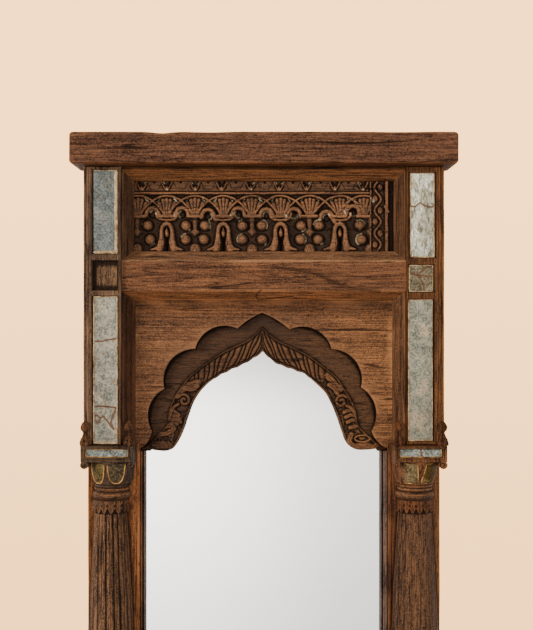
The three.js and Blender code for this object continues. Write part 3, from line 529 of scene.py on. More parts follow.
petalGold = {"silver": tone(88, 70, 34), "dark": tone(44, 33, 16), "pale": tone(132, 110, 64)}
petalDark = {"silver": tone(66, 52, 29), "dark": tone(34, 26, 15), "pale": tone(100, 84, 50)}
for look in (petalGold, petalDark):
    look.update({"metal": 0.03, "foxShare": 0.2})
reeded = {"across": 240.0, "along": 4.0, "contrast": 1.5, "smokeShare": 0.12, "dashShare": 0.6}
finishes = {
    "across": woodFinish("agedWoodAcross", "x"),
    "cornice": woodFinish("corniceWood", "x", 41, smokeShare=0.4, figureShare=0.2, contrast=0.9, gloss=0.02,
                          tint=(0.76, 0.85, 1.15)),
    "transom": woodFinish("transomWood", "x", 12, figureShare=0.6, smokeShare=0.3, tint=(0.88, 0.92, 1.06)),
    "postLeft": woodFinish("leftPostWood", "z", 5, tint=(0.58, 0.8, 1.1)),
    "postRight": woodFinish("rightPostWood", "z", 7, contrast=1.3, tint=(0.47, 0.46, 0.45)),
    # The top and across bevel finishes are lightened copies of the wood: painted light on bevels that tilt
    # away from the lamps. The left and right bevel finishes are its shaded and lit copies.
    "bevelTop": woodFinish("litFriezeTopWood", "x", 19, smokeShare=0.2, tint=(1.26, 1.23, 1.19)),
    "litBevelAcross": woodFinish("litBevelWoodAcross", "x", 19, smokeShare=0.3, tint=(1.3, 1.2, 1.1)),
    "bevelLeft": woodFinish("shadedBevelWood", "z", 27, smokeShare=0.4, tint=(0.52, 0.64, 0.84)),
    "bevelRight": woodFinish("litBevelWood", "z", 30, smokeShare=0.3, tint=(0.48, 0.55, 0.68)),
    "jambLeft": woodFinish("leftJambWood", "z", 33, warm=tone(160, 104, 60), tint=(0.63, 0.57, 0.53)),
    "jambRight": woodFinish("rightJambWood", "z", 36, warm=tone(160, 104, 60), tint=(1.1, 1.1, 1.11)),
    "carved": woodFinish("carvedWood", "x", 52, paintShare=0.85, figureShare=0.15, wornShare=0.2,
                         dirtShare=0.75, dashShare=0.2, contrast=1.05, mid=tone(106, 71, 47),
                         tint=(0.98, 1.1, 1.3)),
    "arch": woodFinish("archWood", "x", 64, along=3.6, dashShare=0.4, tint=(0.92, 1.02, 1.2)),
    "neck": woodFinish("neckRingWood", "x", 47, tint=(0.62, 0.72, 0.84)),
    "capitalLeft": woodFinish("leftCapitalWood", "z", 9, contrast=1.3, tint=(0.37, 0.53, 0.77)),
    "capitalRight": woodFinish("rightCapitalWood", "z", 13, contrast=1.3, tint=(0.66, 0.68, 0.72)),
    "shaftLeft": woodFinish("leftShaftWood", "z", 71, **reeded, tint=(0.84, 1.03, 1.31)),
    "shaftRight": woodFinish("rightShaftWood", "z", 75, **reeded, tint=(0.55, 0.65, 0.83)),
    "putty": puttyFinish("creamPutty"),
    "gilt": puttyFinish("goldenPutty", tone(204, 150, 84), tone(84, 50, 24)),
    "petal.left.outer": agedMirrorFinish("oliveGlass.left", 61, **petalGold, tint=(1.02, 1.09, 1.43)),
    "petal.left.inner": agedMirrorFinish("darkOliveGlass.left", 67, **petalDark, tint=(1.72, 1.9, 2.86)),
    "petal.right.inner": agedMirrorFinish("oliveGlass.right", 71, **petalGold, tint=(1.4, 1.53, 2.56)),
    "petal.right.outer": agedMirrorFinish("darkOliveGlass.right", 77, **petalDark, tint=(1.72, 1.55, 1.16)),
    "mirror": mirrorFinish(),
    "iron": ironFinish(),
    "felt": feltFinish(),
    "board": boardFinish(),
}
print("finishes made:", len(finishes))


# View, light and floor
view = {"spot": (0.00606, -2.46, 0.5541), "lens": 59.63, "sensor": 36.0}
camera = bpy.data.cameras.new("photoView")
camera.sensor_fit = "VERTICAL"
camera.sensor_height = view["sensor"]
camera.sensor_width = view["sensor"]
camera.lens = view["lens"]
camera.clip_end = 50
viewer = bpy.data.objects.new("photoView", camera)
viewer.location = view["spot"]
viewer.rotation_euler = (math.radians(90), 0, 0)
bpy.context.scene.collection.objects.link(viewer)
bpy.context.scene.camera = viewer

lights = {  # place, what it looks at, width and height, power, colour
    "keyLight": ((-4.2, -3.4, 1.5), (0, 0, 0.3), (2.2, 2.2), 300, (1.0, 0.97, 0.93)),
    "fillLight": ((2.6, -2.6, 0.9), (0, 0, 0.1), (2.2, 2.6), 16, (1.0, 0.98, 0.96)),
    "frontLight": ((0.7, -3.7, -0.3), (0, 0, 0.45), (2.6, 1.6), 62, (1.0, 0.98, 0.95)),
    "backLight": ((0.6, 2.6, 2.2), (0, 0, 0), (2.4, 2.4), 60, (1.0, 0.99, 0.97)),
}
for name, (spot, target, size, power, color) in lights.items():
    lamp = bpy.data.lights.new(name, "AREA")
    lamp.shape = "RECTANGLE"
    lamp.size, lamp.size_y = size
    lamp.energy = power
    lamp.color = color
    holder = bpy.data.objects.new(name, lamp)
    holder.location = spot
    facing = Vector(target) - Vector(spot)
    holder.rotation_euler = facing.to_track_quat("-Z", "Y").to_euler()
    holder.visible_glossy = name == "backLight"
    bpy.context.scene.collection.objects.link(holder)

backdrop = {
    "low": (3.5, 1.85, 0.74), "high": (4.4, 2.34, 0.9), "seenStrength": 1.0,
    "room": {"upper": ((4.4, 4.28, 3.94), (2.15, 2.1, 1.95)), "lower": ((2.3, 2.29, 2.12), (1.5, 1.46, 1.36)),
             "apex": ((2.35, 2.27, 2.06), (1.12, 1.08, 0.98))},
    "side": (1.95, 1.93, 1.9), "mirroredStrength": 1.0, "around": (0.9, 0.89, 0.87), "lightStrength": 0.42,
}


def makeWorld():
    world = bpy.data.worlds.new("studio")
    world.use_nodes = True
    tree = world.node_tree
    tree.nodes.clear()
    where = Wire(tree, None).node("ShaderNodeTexCoord", outlet="Generated")
    parts = [where.node("ShaderNodeSeparateXYZ", None, {"Vector": where}, k) for k in range(3)]
    wall = parts[2].band(-0.3, 0.22).between(backdrop["low"], backdrop["high"])
    rows = [parts[0].band(-0.11, 0.11).between(*backdrop["room"][key]) for key in ("lower", "upper", "apex")]
    room = parts[2].band(-0.36, -0.12).between(*rows[:2])
    room = parts[2].band(-0.1, -0.03).between(room, rows[2])
    room = (parts[0] * parts[0]).band(0.02, 0.08).between(room, backdrop["side"])

    def glow(color, strength):
        return where.node("ShaderNodeBackground", None, {"Color": color, "Strength": backdrop[strength]})

    direct = where.node("ShaderNodeLightPath", outlet="Is Camera Ray")
    mirrored = where.node("ShaderNodeLightPath", outlet="Is Glossy Ray")
    inlets = {0: mirrored, 1: glow(backdrop["around"], "lightStrength"), 2: glow(room, "mirroredStrength")}
    shader = where.node("ShaderNodeMixShader", None, inlets)
    inlets = {0: direct, 1: shader, 2: glow(wall, "seenStrength")}
    shader = where.node("ShaderNodeMixShader", None, inlets)
    where.node("ShaderNodeOutputWorld", None, {"Surface": shader})
    bpy.context.scene.world = world


def makeFloor():
    low, high = cadBox[0][2], 1.9
    points = [(-high, -high, low), (high, -high, low), (high, high, low), (-high, high, low)]
    mesh = bpy.data.meshes.new("floor")
    mesh.from_pydata(points, [], [(0, 1, 2, 3)])
    material, where = startMaterial("paleFloor")
    haze = clouds(stretched(where, 6, 6, "x", 1), 3, 0.5)
    color = haze.between(tone(214, 208, 200), tone(224, 219, 212))
    finishMaterial(material, where, {"Base Color": color, "Roughness": 0.8}, haze, 0.1)
    mesh.materials.append(material)
    floor = bpy.data.objects.new("floor", mesh)
    bpy.context.scene.collection.objects.link(floor)


makeWorld()
makeFloor()
print("camera, light and floor set")


# Places
def span(node):  # x, depth from the rear plane and z of a node, each as low and high, in millimetres
    low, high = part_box(node)
    return ((low.x / mm, high.x / mm), (-high.y / mm, -low.y / mm), (low.z / mm, high.z / mm))


def shade(node, finish):  # a node that keeps its own shape
    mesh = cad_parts[node].data
    mesh.materials.clear()
    mesh.materials.append(finishes[finish])


def distanceTo(px, pz, path):  # shortest distance from points to a line through the path
    best = np.full(np.shape(px), 1e9)
    for (x0, z0), (x1, z1) in zip(path, path[1:]):
        dx, dz = x1 - x0, z1 - z0
        t = unit(((px - x0) * dx + (pz - z0) * dz) / max(dx * dx + dz * dz, 1e-9))
        best = np.minimum(best, np.hypot(px - x0 - t * dx, pz - z0 - t * dz))
    return best


# A whole timber with all its faces: a rounded box with a wandering surface.
def timber(name, node, step, radius, wander, seed, dents=(), cornerRadius=0):
    x, depth, z = span(node)
    lows, highs = np.array([x[0], -depth[1], z[0]]), np.array([x[1], -depth[0], z[1]])
    lines = [breaks(lows[k], highs[k], step[k], softness=radius * 1.1) for k in range(3)]
    counts = [len(line) for line in lines]
    keys, faces = {}, []

    def corner(i, j, k):
        return keys.setdefault((i, j, k), len(keys))

    for axis in range(3):
        u, v = [k for k in range(3) if k != axis]
        for end in (0, counts[axis] - 1):
            for a in range(counts[u] - 1):
                for b in range(counts[v] - 1):
                    quad = []
                    for da, db in ((0, 0), (1, 0), (1, 1), (0, 1)):
                        at = [0, 0, 0]
                        at[axis], at[u], at[v] = end, a + da, b + db
                        quad.append(corner(*at))
                    if (end == 0) == (axis != 1):
                        quad.reverse()
                    faces.append(quad)
    spots = np.array(list(keys))
    points = np.stack([lines[k][spots[:, k]] for k in range(3)], 1)
    core = np.clip(points, lows + radius, highs - radius)
    away = points - core
    length = np.maximum(np.linalg.norm(away, axis=1), 1e-6)[:, None]
    normal = away / length
    points = core + normal * radius
    px, py, pz = points.T
    drop = wander * (1 + rough(px, py, pz, (160, 50, 40), seed, 3))
    drop += wander * 0.35 * (1 + rough(px, py, pz, (60, 5, 5), seed + 3, 2))
    atEdge = (np.abs(normal) > 0.2).sum(1) > 1
    chips = unit(rough(px, py, pz, (26, 18, 18), seed + 7, 2) - 0.15)
    drop += atEdge * chips * wander * 3.2
    points = points - normal * drop[:, None]
    if cornerRadius:
        points = roundCorners(points, x, z, cornerRadius)
        px, pz = points[:, 0], points[:, 2]
    for centre, reach, fall in dents:  # a dent pulls the top edge down
        near = hump(px, centre, reach) * unit((pz - z[0]) / (z[1] - z[0])) ** 2
        points[:, 2] -= near * fall
    return makeMesh(name, points, faces)


def roundCorners(points, x, z, radius):  # the corners in the front view, drawn in to quarter circles
    for sign, endX in ((-1, x[0]), (1, x[1])):
        for way, endZ in ((-1, z[0]), (1, z[1])):
            dx = np.clip(sign * (points[:, 0] - endX) + radius, 0, None)
            dz = np.clip(way * (points[:, 2] - endZ) + radius, 0, None)
            away = np.hypot(dx, dz)
            shrink = np.where((dx > 0) & (dz > 0), np.maximum(dx, dz) / np.maximum(away, 1e-9), 1)
            points[:, 0] -= sign * dx * (1 - shrink)
            points[:, 2] -= way * dz * (1 - shrink)
    return points


# A bar whose section is given as stations, each a line from end to end with its depth.
def ruledBar(name, stations, seed, step=4.0, wander=0.5, grooves=(), extra=None):
    rows = []
    for (startA, endA, depthA), (startB, endB, depthB) in zip(stations, stations[1:]):
        width = math.dist((*startA, depthA), (*startB, depthB))
        count = max(2, int(width / 2.2))
        for k in range(count):
            t = k / count
            rows.append([np.array(startA) * (1 - t) + np.array(startB) * t,
                         np.array(endA) * (1 - t) + np.array(endB) * t, depthA * (1 - t) + depthB * t])
    last = stations[-1]
    rows.append([np.array(last[0], float), np.array(last[1], float), last[2]])
    depths = np.array([row[2] for row in rows])
    depths[1:-1] = depths[1:-1] * 0.5 + (depths[:-2] + depths[2:]) * 0.25
    length = math.dist(rows[0][0], rows[0][1])
    along = np.linspace(0, 1, int(length / step) + 1)
    grid = np.zeros((len(rows), len(along), 3))
    for k, (start, end, _) in enumerate(rows):
        spots = start[None, :] * (1 - along[:, None]) + end[None, :] * along[:, None]
        wave = rough(spots[:, 0], depths[k], spots[:, 1], (45, 14, 45), seed, 3)
        front = depths[k] - wander * (1 + wave)
        for at, width, deep in grooves:
            front = front - deep * max(0.0, 1 - abs(k / (len(rows) - 1) - at) / width)
        if k in (0, len(rows) - 1):
            front = front - 0.8 - 0.5 * (1 + rough(spots[:, 0], 0, spots[:, 1], (18, 9, 18), seed + 3, 2))
        if extra is not None:
            front = extra(spots[:, 0], spots[:, 1], front)
        grid[k, :, 0], grid[k, :, 1], grid[k, :, 2] = spots[:, 0], -front, spots[:, 1]
    points, faces = closeGrid(grid, 0, 5)
    return closedMesh(name, points, faces)


# Cornice, sill, plinths and bottom rail
cornice = {"step": (5.0, 9.0, 3.2), "radius": 4.2, "wander": 0.55, "seed": 11, "cornerRadius": 9.0,
           "dents": [(-228, 26, 3.4), (-120, 40, 1.2), (300, 60, 1.0)]}
sill = {"step": (9.0, 9.0, 6.0), "radius": 4.5, "wander": 0.6, "seed": 23}
plinth = {"step": (6, 8, 6), "radius": 4, "wander": 0.5}
corniceUnderside = 3.5  # what lies lower than this on the cornice is its underside


def makeBeams():
    mesh = timber("corniceBeam", "cornice_beam", **cornice)
    low = span("cornice_beam")[2][0]
    # Painted shade: the cornice's underside is darkened.
    tintMesh(mesh, [(spotsOf(mesh)[:, 2] < low + corniceUnderside, (0.9, 0.75, 0.6))])
    place(mesh, "cornice", "cornice_beam")
    place(timber("sillBeam", "sill_beam", **sill), "across", "sill_beam")
    for seed, (_, side) in enumerate(sides, 35):
        mesh = timber(f"plinth.{side}", f"plinth_{side}", **plinth, seed=seed)
        place(mesh, "post" + side.title(), f"plinth_{side}")
    x, depth, z = span("bottom_rail")

    def front(gx, gz):
        return depth[1] - 0.6 * uneven(gx, gz, (90, 14), 41)

    mesh = slab("bottomRail", x, z, (6, 3.5), front, depth[0], seed=43)
    place(mesh, "across", "bottom_rail")


# Transom and the mouldings round the frieze and the arch panel
moulding = {
    "front": 85.0, "friezeSeat": 45.0, "archSeat": 52.0, "gap": 0.3, "topBevel": 22.5, "upperBevel": 23.0,
    "lowerBevel": 20.0, "arris": 3.0, "friezeGrooves": [(0.42, 0.1, 1.2)],
    "archGrooves": [(0.36, 0.09, 1.5), (0.72, 0.06, 0.9)], "mitre": 19.5, "crackHalf": 1.6,
    "crackDepth": 2.2, "upperBevelLitTint": (1.65, 1.9, 1.97), "lowerBevelLitTint": (1.34, 1.2, 0.98),
    "crack": [(-6, 611), (-13, 605), (-18, 597), (-13, 589.5), (3, 591), (35, 594), (67, 597)],
}
figures = [  # dark lines of the transom's grain: how dark, how much wider at the right end, and where
    (0.62, 2.4, [(20, 663), (48, 659.5), (80, 656), (111, 650), (132, 642), (151, 632), (178, 621),
                 (208, 614), (262, 607)]),
    (0.3, 0, [(70, 659), (120, 657), (165, 649), (215, 643), (280, 640)]),
    (0.4, 0, [(-205, 611), (-170, 613), (-135, 618), (-98, 619), (-60, 617)]),
    (0.3, 0, [(-120, 654), (-70, 650), (-20, 652), (30, 648), (86, 650)]),
]
archMouldingLitShadedTints = {"left": (0.66, 0.54, 0.48), "right": (1.27, 1.23, 1.13)}


def levelLine(x, z, depth):  # a station of a level bar
    return (x[0], z), (x[1], z), depth


def uprightLine(x, z, depth):  # a station of an upright bar
    return (x, z[0]), (x, z[1]), depth


def makeMouldings():
    front, gap, arris = (moulding[key] for key in ("front", "gap", "arris"))
    friezeX, _, friezeZ = span("frieze_panel")
    inner, low, high = (-friezeX[1] - gap, friezeX[1] + gap), friezeZ[0] - gap, friezeZ[1] + gap
    x, _, z = span("frieze_moulding_top")
    bevelTop = high + moulding["topBevel"]
    stations = [levelLine(x, z[1], front), levelLine(x, bevelTop + 0.4, front),
                levelLine(x, bevelTop, front - 1.5), levelLine(inner, high, moulding["friezeSeat"])]
    mesh = ruledBar("friezeMouldingTop", stations, 51)
    height = spotsOf(mesh)[:, 2]
    # Painted shadow: a dark line under the cornice at the top of the bevel, and one at its foot above the
    # frieze.
    tintMesh(mesh, [(unit((height - bevelTop + 1.5) / 2) * 0.8, black),
                    (unit((high + 3.5 - height) / 3) * 0.7, black)])
    place(mesh, "bevelTop", "frieze_moulding_top")
    makeTransom(inner, low)
    for sign, side in sides:
        x, _, z = span(f"frieze_moulding_{side}")
        outerX, innerX = x[::-sign]
        stations = [uprightLine(outerX, z, front),
                    uprightLine(outerX - sign * 2.5, (z[0] + 2, z[1] - 2), front - 1),
                    uprightLine(innerX, (low, high), moulding["friezeSeat"])]
        mesh = ruledBar(f"friezeMoulding.{side}", stations, 61 + sign, grooves=moulding["friezeGrooves"])
        place(mesh, "bevel" + side.title(), f"frieze_moulding_{side}")
        x, _, z = span(f"arch_moulding_{side}")
        outerX, innerX = x[::-sign]
        stations = [uprightLine(outerX, z, front),
                    uprightLine(outerX - sign * arris, (z[0], z[1] - 2), front - 1),
                    uprightLine(innerX, (z[0], z[1] - moulding["mitre"]), moulding["archSeat"])]
        mesh = ruledBar(f"archMoulding.{side}", stations, 67 + sign, grooves=moulding["archGrooves"])
        # Painted light and shade: the left moulding is darkened and the right one lightened, as the light
        # falls from the left.
        tintMesh(mesh, [(1.0, archMouldingLitShadedTints[side])])
        place(mesh, "bevel" + side.title(), f"arch_moulding_{side}")


def makeTransom(inner, top):  # its upper bevel runs up to the frieze, its lower one down to the arch panel
    front, arris, half = (moulding[key] for key in ("front", "arris", "crackHalf"))
    x, _, z = span("transom_rail")
    faceTop, faceLow = top - moulding["upperBevel"], z[0] + moulding["lowerBevel"]
    archX = span("arch_moulding_left")[0][1]

    def crack(px, pz, depth):  # the curved crack in the lower bevel
        return depth - moulding["crackDepth"] * unit(1 - distanceTo(px, pz, moulding["crack"]) / half)

    stations = [levelLine(inner, top, moulding["friezeSeat"]), levelLine(x, faceTop, front - 1),
                levelLine(x, faceTop - arris, front), levelLine(x, faceLow + arris, front),
                levelLine(x, faceLow, front - 2), levelLine((archX, -archX), z[0], moulding["archSeat"])]
    mesh = ruledBar("transomRail", stations, 57, step=3.0, wander=0.7, extra=crack)
    across, _, height = spotsOf(mesh).T
    dark = 0.75 * hump(distanceTo(across, height, moulding["crack"]), 0, half)
    for share, wider, path in figures:
        away = distanceTo(across, height, path) / (2.6 + wider * unit(across / 200))
        dark = np.maximum(dark, share * np.exp(-away ** 2))
    # Painted light on both bevels. The crack and the grain figure lines are darkened.
    tintMesh(mesh, [(height > faceTop - 2, moulding["upperBevelLitTint"]),
                    (height < faceLow + 1, moulding["lowerBevelLitTint"]), (dark, black)])
    place(mesh, "transom", "transom_rail")


makeBeams()
makeMouldings()
print("beams and mouldings made")


# Posts: depth of the carved front, with recesses for the panes and worn grooves along the edges
post = {
    "step": (2.4, 4.2), "recessDepth": 88.0, "lipWidth": 2.2, "wander": 0.8, "bareDepth": 86.0, "seat": 0.6,
    "outerGrooves": [(6.5, 1.7, 2.6), (13.5, 1.3, 1.8)],  # from the outer edge: place, half width, depth
    "innerGrooves": [(5.0, 1.4, 2.2), (10.5, 1.1, 1.6)],
    "edgeTints": {"left": ((1.16, 1.12, 1.14), (1.2, 1.2, 1.25)),
                  "right": ((1.3, 1.32, 1.3), (1.0, 1.0, 0.9))},
    "bareRecessLitTint": (1.56, 1.51, 1.39), "marks": (-1, 1, -5.4, -3.4),
}
recessShares = {  # each pane's opening, high and low, in shares of the post's height from its top
    "left": {"upper": (0.0126, 0.315), "middle": (0.339, 0.4447), "lower": (0.466, 0.9968)},
    "right": {"upper": (0.0237, 0.3286), "middle": (0.353, 0.4518), "lower": (0.477, 0.9866)},
}
paneSlide = {"pane_middle_right": -3.0, "pane_lower_right": -4.4}  # how far a pane sits to one side
paneShadow = {  # side: the lines that the panes' edges throw on the post, as edge, distance, width and share
    "left": ((0, -1.5, 1.8, 0.75), (1, 3.6, 3.2, 0.4)), "right": ((0, -1.5, 1.6, 0.4), (1, 1.6, 2.0, 0.9)),
}


def recessesOf(side):  # x and z of each pane's opening in a post
    _, _, (low, top) = span(f"post_{side}")
    x = span(f"pane_upper_{side}")[0]
    found = {}
    for name, (upper, lower) in recessShares[side].items():
        slide = paneSlide.get(f"pane_{name}_{side}", 0)
        found[name] = ((x[0] - post["seat"] + slide, x[1] + post["seat"] + slide),
                       (top - lower * (top - low), top - upper * (top - low)))
    return found


def makePosts():
    for sign, side in sides:
        x, depth, z = span(f"post_{side}")
        recesses = recessesOf(side)
        (openLeft, openRight), (bareLow, bareHigh) = recesses["upper"][0], recesses["middle"][1]
        seed = 81 + sign

        def front(gx, gz):
            out = depth[1] - post["wander"] * 0.6 * uneven(gx, gz, (9, 120), seed)
            out -= 0.5 * uneven(gx, gz, (3, 60), seed + 2, 2)
            sway = 0.9 * rough(0, 0, gz, (1, 1, 90), seed + 4, 2)
            for key, edge in (("outerGrooves", sign), ("innerGrooves", -sign)):
                for at, half, deep in post[key]:
                    share = 0.65 + 0.35 * rough(0, 0, gz, (1, 1, 70), seed + int(at), 2)
                    away = np.abs(fromEdge(gx, x, edge) - at - sway)
                    out -= deep * share * unit(1 - away / half)
            for name, (recessX, recessZ) in recesses.items():
                floor = post["recessDepth"]
                if (name, side) == ("middle", "left"):
                    floor = post["bareDepth"] - 0.35 * uneven(gx, gz, (5, 40), seed + 9)
                bevel = unit((insideOf(gx, gz, recessX, recessZ) + 1.2) / post["lipWidth"])
                out = out * (1 - bevel) + np.minimum(out, floor) * bevel
            return out

        marksX = [(openLeft, openRight)[k % 2] + off for k, off in enumerate(post["marks"])]
        for key, edge in (("outerGrooves", sign), ("innerGrooves", -sign)):
            marksX += [x[0] + groove[0] if edge < 0 else x[1] - groove[0] for groove in post[key]]
        marksZ = [v for _, (low, high) in recesses.values() for v in (low - 1, high + 1)]
        mesh = slab(f"post.{side}", x, z, post["step"], front, depth[0], marksX, marksZ, 0.7, seed, 14)
        across, _, height = spotsOf(mesh).T
        beside = (across < openLeft, across > openRight)[::-sign]
        zones = list(zip(beside, post["edgeTints"][side]))
        # Painted light: the left post's bare recess is lightened against the shade that falls in it.
        if side == "left":
            bare = insideOf(across, height, (openLeft + 1, openRight - 1), (bareLow, bareHigh)) > 0
            zones.append((bare, post["bareRecessLitTint"]))
        for recessX, (low, high) in recesses.values():
            for edge, distance, width, share in paneShadow[side]:
                near = hump(across - recessX[edge], distance, width)
                zones.append((near * share * (height > low - 1) * (height < high + 1), black))
        tintMesh(mesh, zones)
        place(mesh, "post" + side.title(), f"post_{side}")


# Panes of aged mirror, each with its own cracks and tilt, and the putty round them
panes = {  # node: finish shift, tilt across and up, cracks as paths in shares of the pane
    "pane_upper_left": (3, 0.4, -0.3, []),
    "pane_lower_left": (9, -0.3, 0.5, [
        [(0, 0.695), (0.3, 0.695), (0.6, 0.705), (1, 0.715)],
        [(0, 0.25), (0.2, 0.256), (0.6, 0.252), (1, 0.243)],
        [(0, 0.19), (0.16, 0.192), (0.3, 0.175), (0.42, 0.186), (0.6, 0.15), (0.72, 0.118), (0.84, 0.098)],
        [(0.84, 0.098), (0.72, 0.14), (0.8, 0.19), (0.92, 0.235), (1, 0.243)],
        [(0.06, 0.165), (0.2, 0.14), (0.3, 0.175)]]),
    "pane_upper_right": (15, 0.5, 0.4, [
        [(0, 0.612), (0.2, 0.6), (0.34, 0.635), (0.42, 0.65), (0.5, 0.632), (0.68, 0.606), (0.85, 0.598),
         (1, 0.604)]]),
    "pane_middle_right": (21, -0.4, 0.2, [
        [(0, 0.72), (0.35, 0.62), (1, 0.56)], [(0.35, 0.62), (0.6, 0.3), (0.66, 0)],
        [(0.35, 0.62), (0.75, 0.9), (1, 0.97)]]),
    "pane_lower_right": (27, 0.3, -0.4, []),
    "pane_capital_left": (33, 0.1, 0.2, []),
    "pane_capital_right": (39, -0.1, 0.3, [[(0.52, 0), (0.5, 1)]]),
}
paneLooks = {
    "pane_upper_left": {"silver": tone(118, 121, 116), "dark": tone(68, 71, 67), "pale": tone(140, 142, 134),
                        "foxShare": 0.15, "creaseShare": 0.4},
    "pane_lower_left": {"silver": tone(150, 143, 125), "dark": tone(88, 88, 80), "pale": tone(190, 180, 154)},
    "pane_upper_right": {"silver": tone(194, 187, 162), "dark": tone(104, 97, 78),
                         "pale": tone(252, 250, 240), "foxShare": 0.3, "creaseShare": 1.0,
                         "cloud": 34.0, "stretch": 0.45},
    "pane_middle_right": {"silver": tone(126, 114, 89), "dark": tone(62, 54, 36), "pale": tone(172, 157, 123),
                          "foxShare": 0.3},
    "pane_lower_right": {"silver": tone(142, 137, 119), "dark": tone(82, 82, 70),
                         "pale": tone(182, 168, 134)},
    "pane_capital_left": {"silver": tone(98, 102, 94), "dark": tone(47, 51, 47)},
    "pane_capital_right": {"silver": tone(126, 127, 115), "dark": tone(64, 66, 58)},
}
# Painted reflection: each pane is lightened or darkened across it and up it.
paneShine = {  # how much more a pane shines towards its right edge and towards its top
    "pane_upper_left": (-0.04, 0.0), "pane_lower_left": (0.08, 0.13), "pane_upper_right": (-0.2, 0.2),
    "pane_lower_right": (-0.12, 0.27), "pane_capital_left": (-0.1, 0.0), "pane_capital_right": (0.35, 0.0),
}
paneShape = {"sunk": 0.7, "tilt": 0.3, "edge": 0.8, "crackHalf": 1.1, "crackDepth": 1.1,
             "slips": (0.22, -0.12), "wave": 0.12, "fineStep": (1.5, 1.5), "step": (3, 3)}


def makePanes():
    for node, (shift, tiltX, tiltZ, cracks) in panes.items():
        x, depth, z = span(node)
        x = [v + paneSlide.get(node, 0) for v in x]
        wide, tall = x[1] - x[0], z[1] - z[0]
        lines = [[(x[0] + u * wide, z[0] + v * tall) for u, v in path] for path in cracks]

        def shares(gx, gz):  # from -1 to 1 across and up the pane
            return (gx - x[0]) / wide * 2 - 1, (gz - z[0]) / tall * 2 - 1

        def front(gx, gz):
            u, v = shares(gx, gz)
            out = depth[1] - paneShape["sunk"] + paneShape["tilt"] * (tiltX * u + tiltZ * v)
            for k, line in enumerate(lines):
                level = np.interp(gx, [p[0] for p in line], [p[1] for p in line])
                out = out + np.where(gz > level, *paneShape["slips"]) * (1 if k % 2 else -1) * 0.6
                away = distanceTo(gx, gz, line) / paneShape["crackHalf"]
                out = out - paneShape["crackDepth"] * unit(1 - away)
            return out - paneShape["wave"] * uneven(gx, gz, (14, 14), shift)

        marks = [p[1] for line in lines for p in line] if wide < tall else []
        step = paneShape["fineStep" if lines else "step"]
        mesh = slab(node.replace("_", "."), x, z, step, front, depth[0], [], marks, 0.4, 120 + shift, 1,
                    paneShape["edge"])
        across, _, height = spotsOf(mesh).T
        away = np.full(len(across), 9.0)
        for line in lines:
            away = np.minimum(away, distanceTo(across, height, line))
        store(mesh, "soot", unit(1.9 - away / 1.5))
        # Painted reflection: a brightness slope across and up the pane.
        shineX, shineZ = paneShine.get(node, (0, 0))
        u, v = shares(across, height)
        tintMesh(mesh, [(shineX * u + shineZ * v, (2, 2, 2))])
        title = "agedMirror." + node[5:].replace("_", ".")
        finishes[node] = agedMirrorFinish(title, shift, **paneLooks[node])
        place(mesh, node, node)


ribbonShape = {"swell": 0.45, "drift": 0.22, "endSteps": 3, "endShare": 0.35, "across": 7, "rooted": 0.4}


# A lumpy half-round ribbon of putty along a path in space, lying on a surface with the given normals.
def ribbon(name, path, normals, width, height, finish, seed):
    ahead = np.gradient(path, axis=0)
    ahead /= np.linalg.norm(ahead, axis=1)[:, None]
    side = np.cross(ahead, normals)
    x, y, z = path.T
    shape, count = ribbonShape, np.arange(len(path))
    swell = 1 + shape["swell"] * rough(x, y, z, (9, 9, 9), seed, 3)
    drift = rough(x, y, z, (14, 14, 14), seed + 3, 2) * width * shape["drift"]
    ends = np.clip(np.minimum(count, count[::-1]) / shape["endSteps"], shape["endShare"], 1)
    rows = []
    for share in np.linspace(-1, 1, shape["across"]):
        reach = share * width / 2 * swell * ends + drift
        rise = height * (1 - share ** 4) * (0.75 + 0.25 * rough(x, share * 4, z, (5, 5, 5), seed + 7, 2))
        rows.append(path + side * reach[:, None] + normals * (rise * ends)[:, None])
    rear = np.broadcast_to(-normals * (height * shape["rooted"]), (shape["across"], *path.shape))
    made, faces = closeShell(np.stack(rows), rear)
    place(closedMesh(name, made, faces), finish)


putty = {  # side: pane, then which edges carry putty and how wide it is there, as left, right, low, high
    "left": {"upper": (0, 7.5, 6.5, 2), "lower": (3.2, 3.0, 3.4, 2.2), "capital": (1.8, 1.4, 1.8, 1.2)},
    "right": {"upper": (2.2, 2.4, 2.8, 2.0), "middle": (3.6, 1.8, 2.0, 2.4), "lower": (3.4, 1.6, 3.6, 2.4),
              "capital": (1.8, 2.2, 1.8, 0)},
}
puttyShape = {"sunk": 0.6, "height": 2.2, "step": 1.6}


def makePutty():
    for _, side in sides:
        for name, widths in putty[side].items():
            node = f"pane_{name}_{side}"
            x, (_, front), z = span(node)
            x = [v + paneSlide.get(node, 0) for v in x]
            for k, (key, width) in enumerate(zip("abcd", widths)):
                if not width:
                    continue
                inset = width / 2 * (-1) ** k
                ends = [(x[k] + inset, v) for v in z] if k < 2 else [(v, z[k - 2] + inset) for v in x]
                (x0, z0), (x1, z1) = ends
                count = max(1, int(math.dist(*ends) / puttyShape["step"]))
                share = np.linspace(0, 1, count + 1)
                path = np.stack([x0 + (x1 - x0) * share, np.full(count + 1, puttyShape["sunk"] - front),
                                 z0 + (z1 - z0) * share], 1)
                normals = np.broadcast_to(np.array([0.0, -1.0, 0.0]), path.shape)
                ribbon(f"putty.{name}.{side}.{key}", path, normals, width, puttyShape["height"],
                       "gilt" if name == "capital" else "putty", 150 + len(name) * 7 + ord(key))


makePosts()
makePanes()
makePutty()
print("posts and panes made")


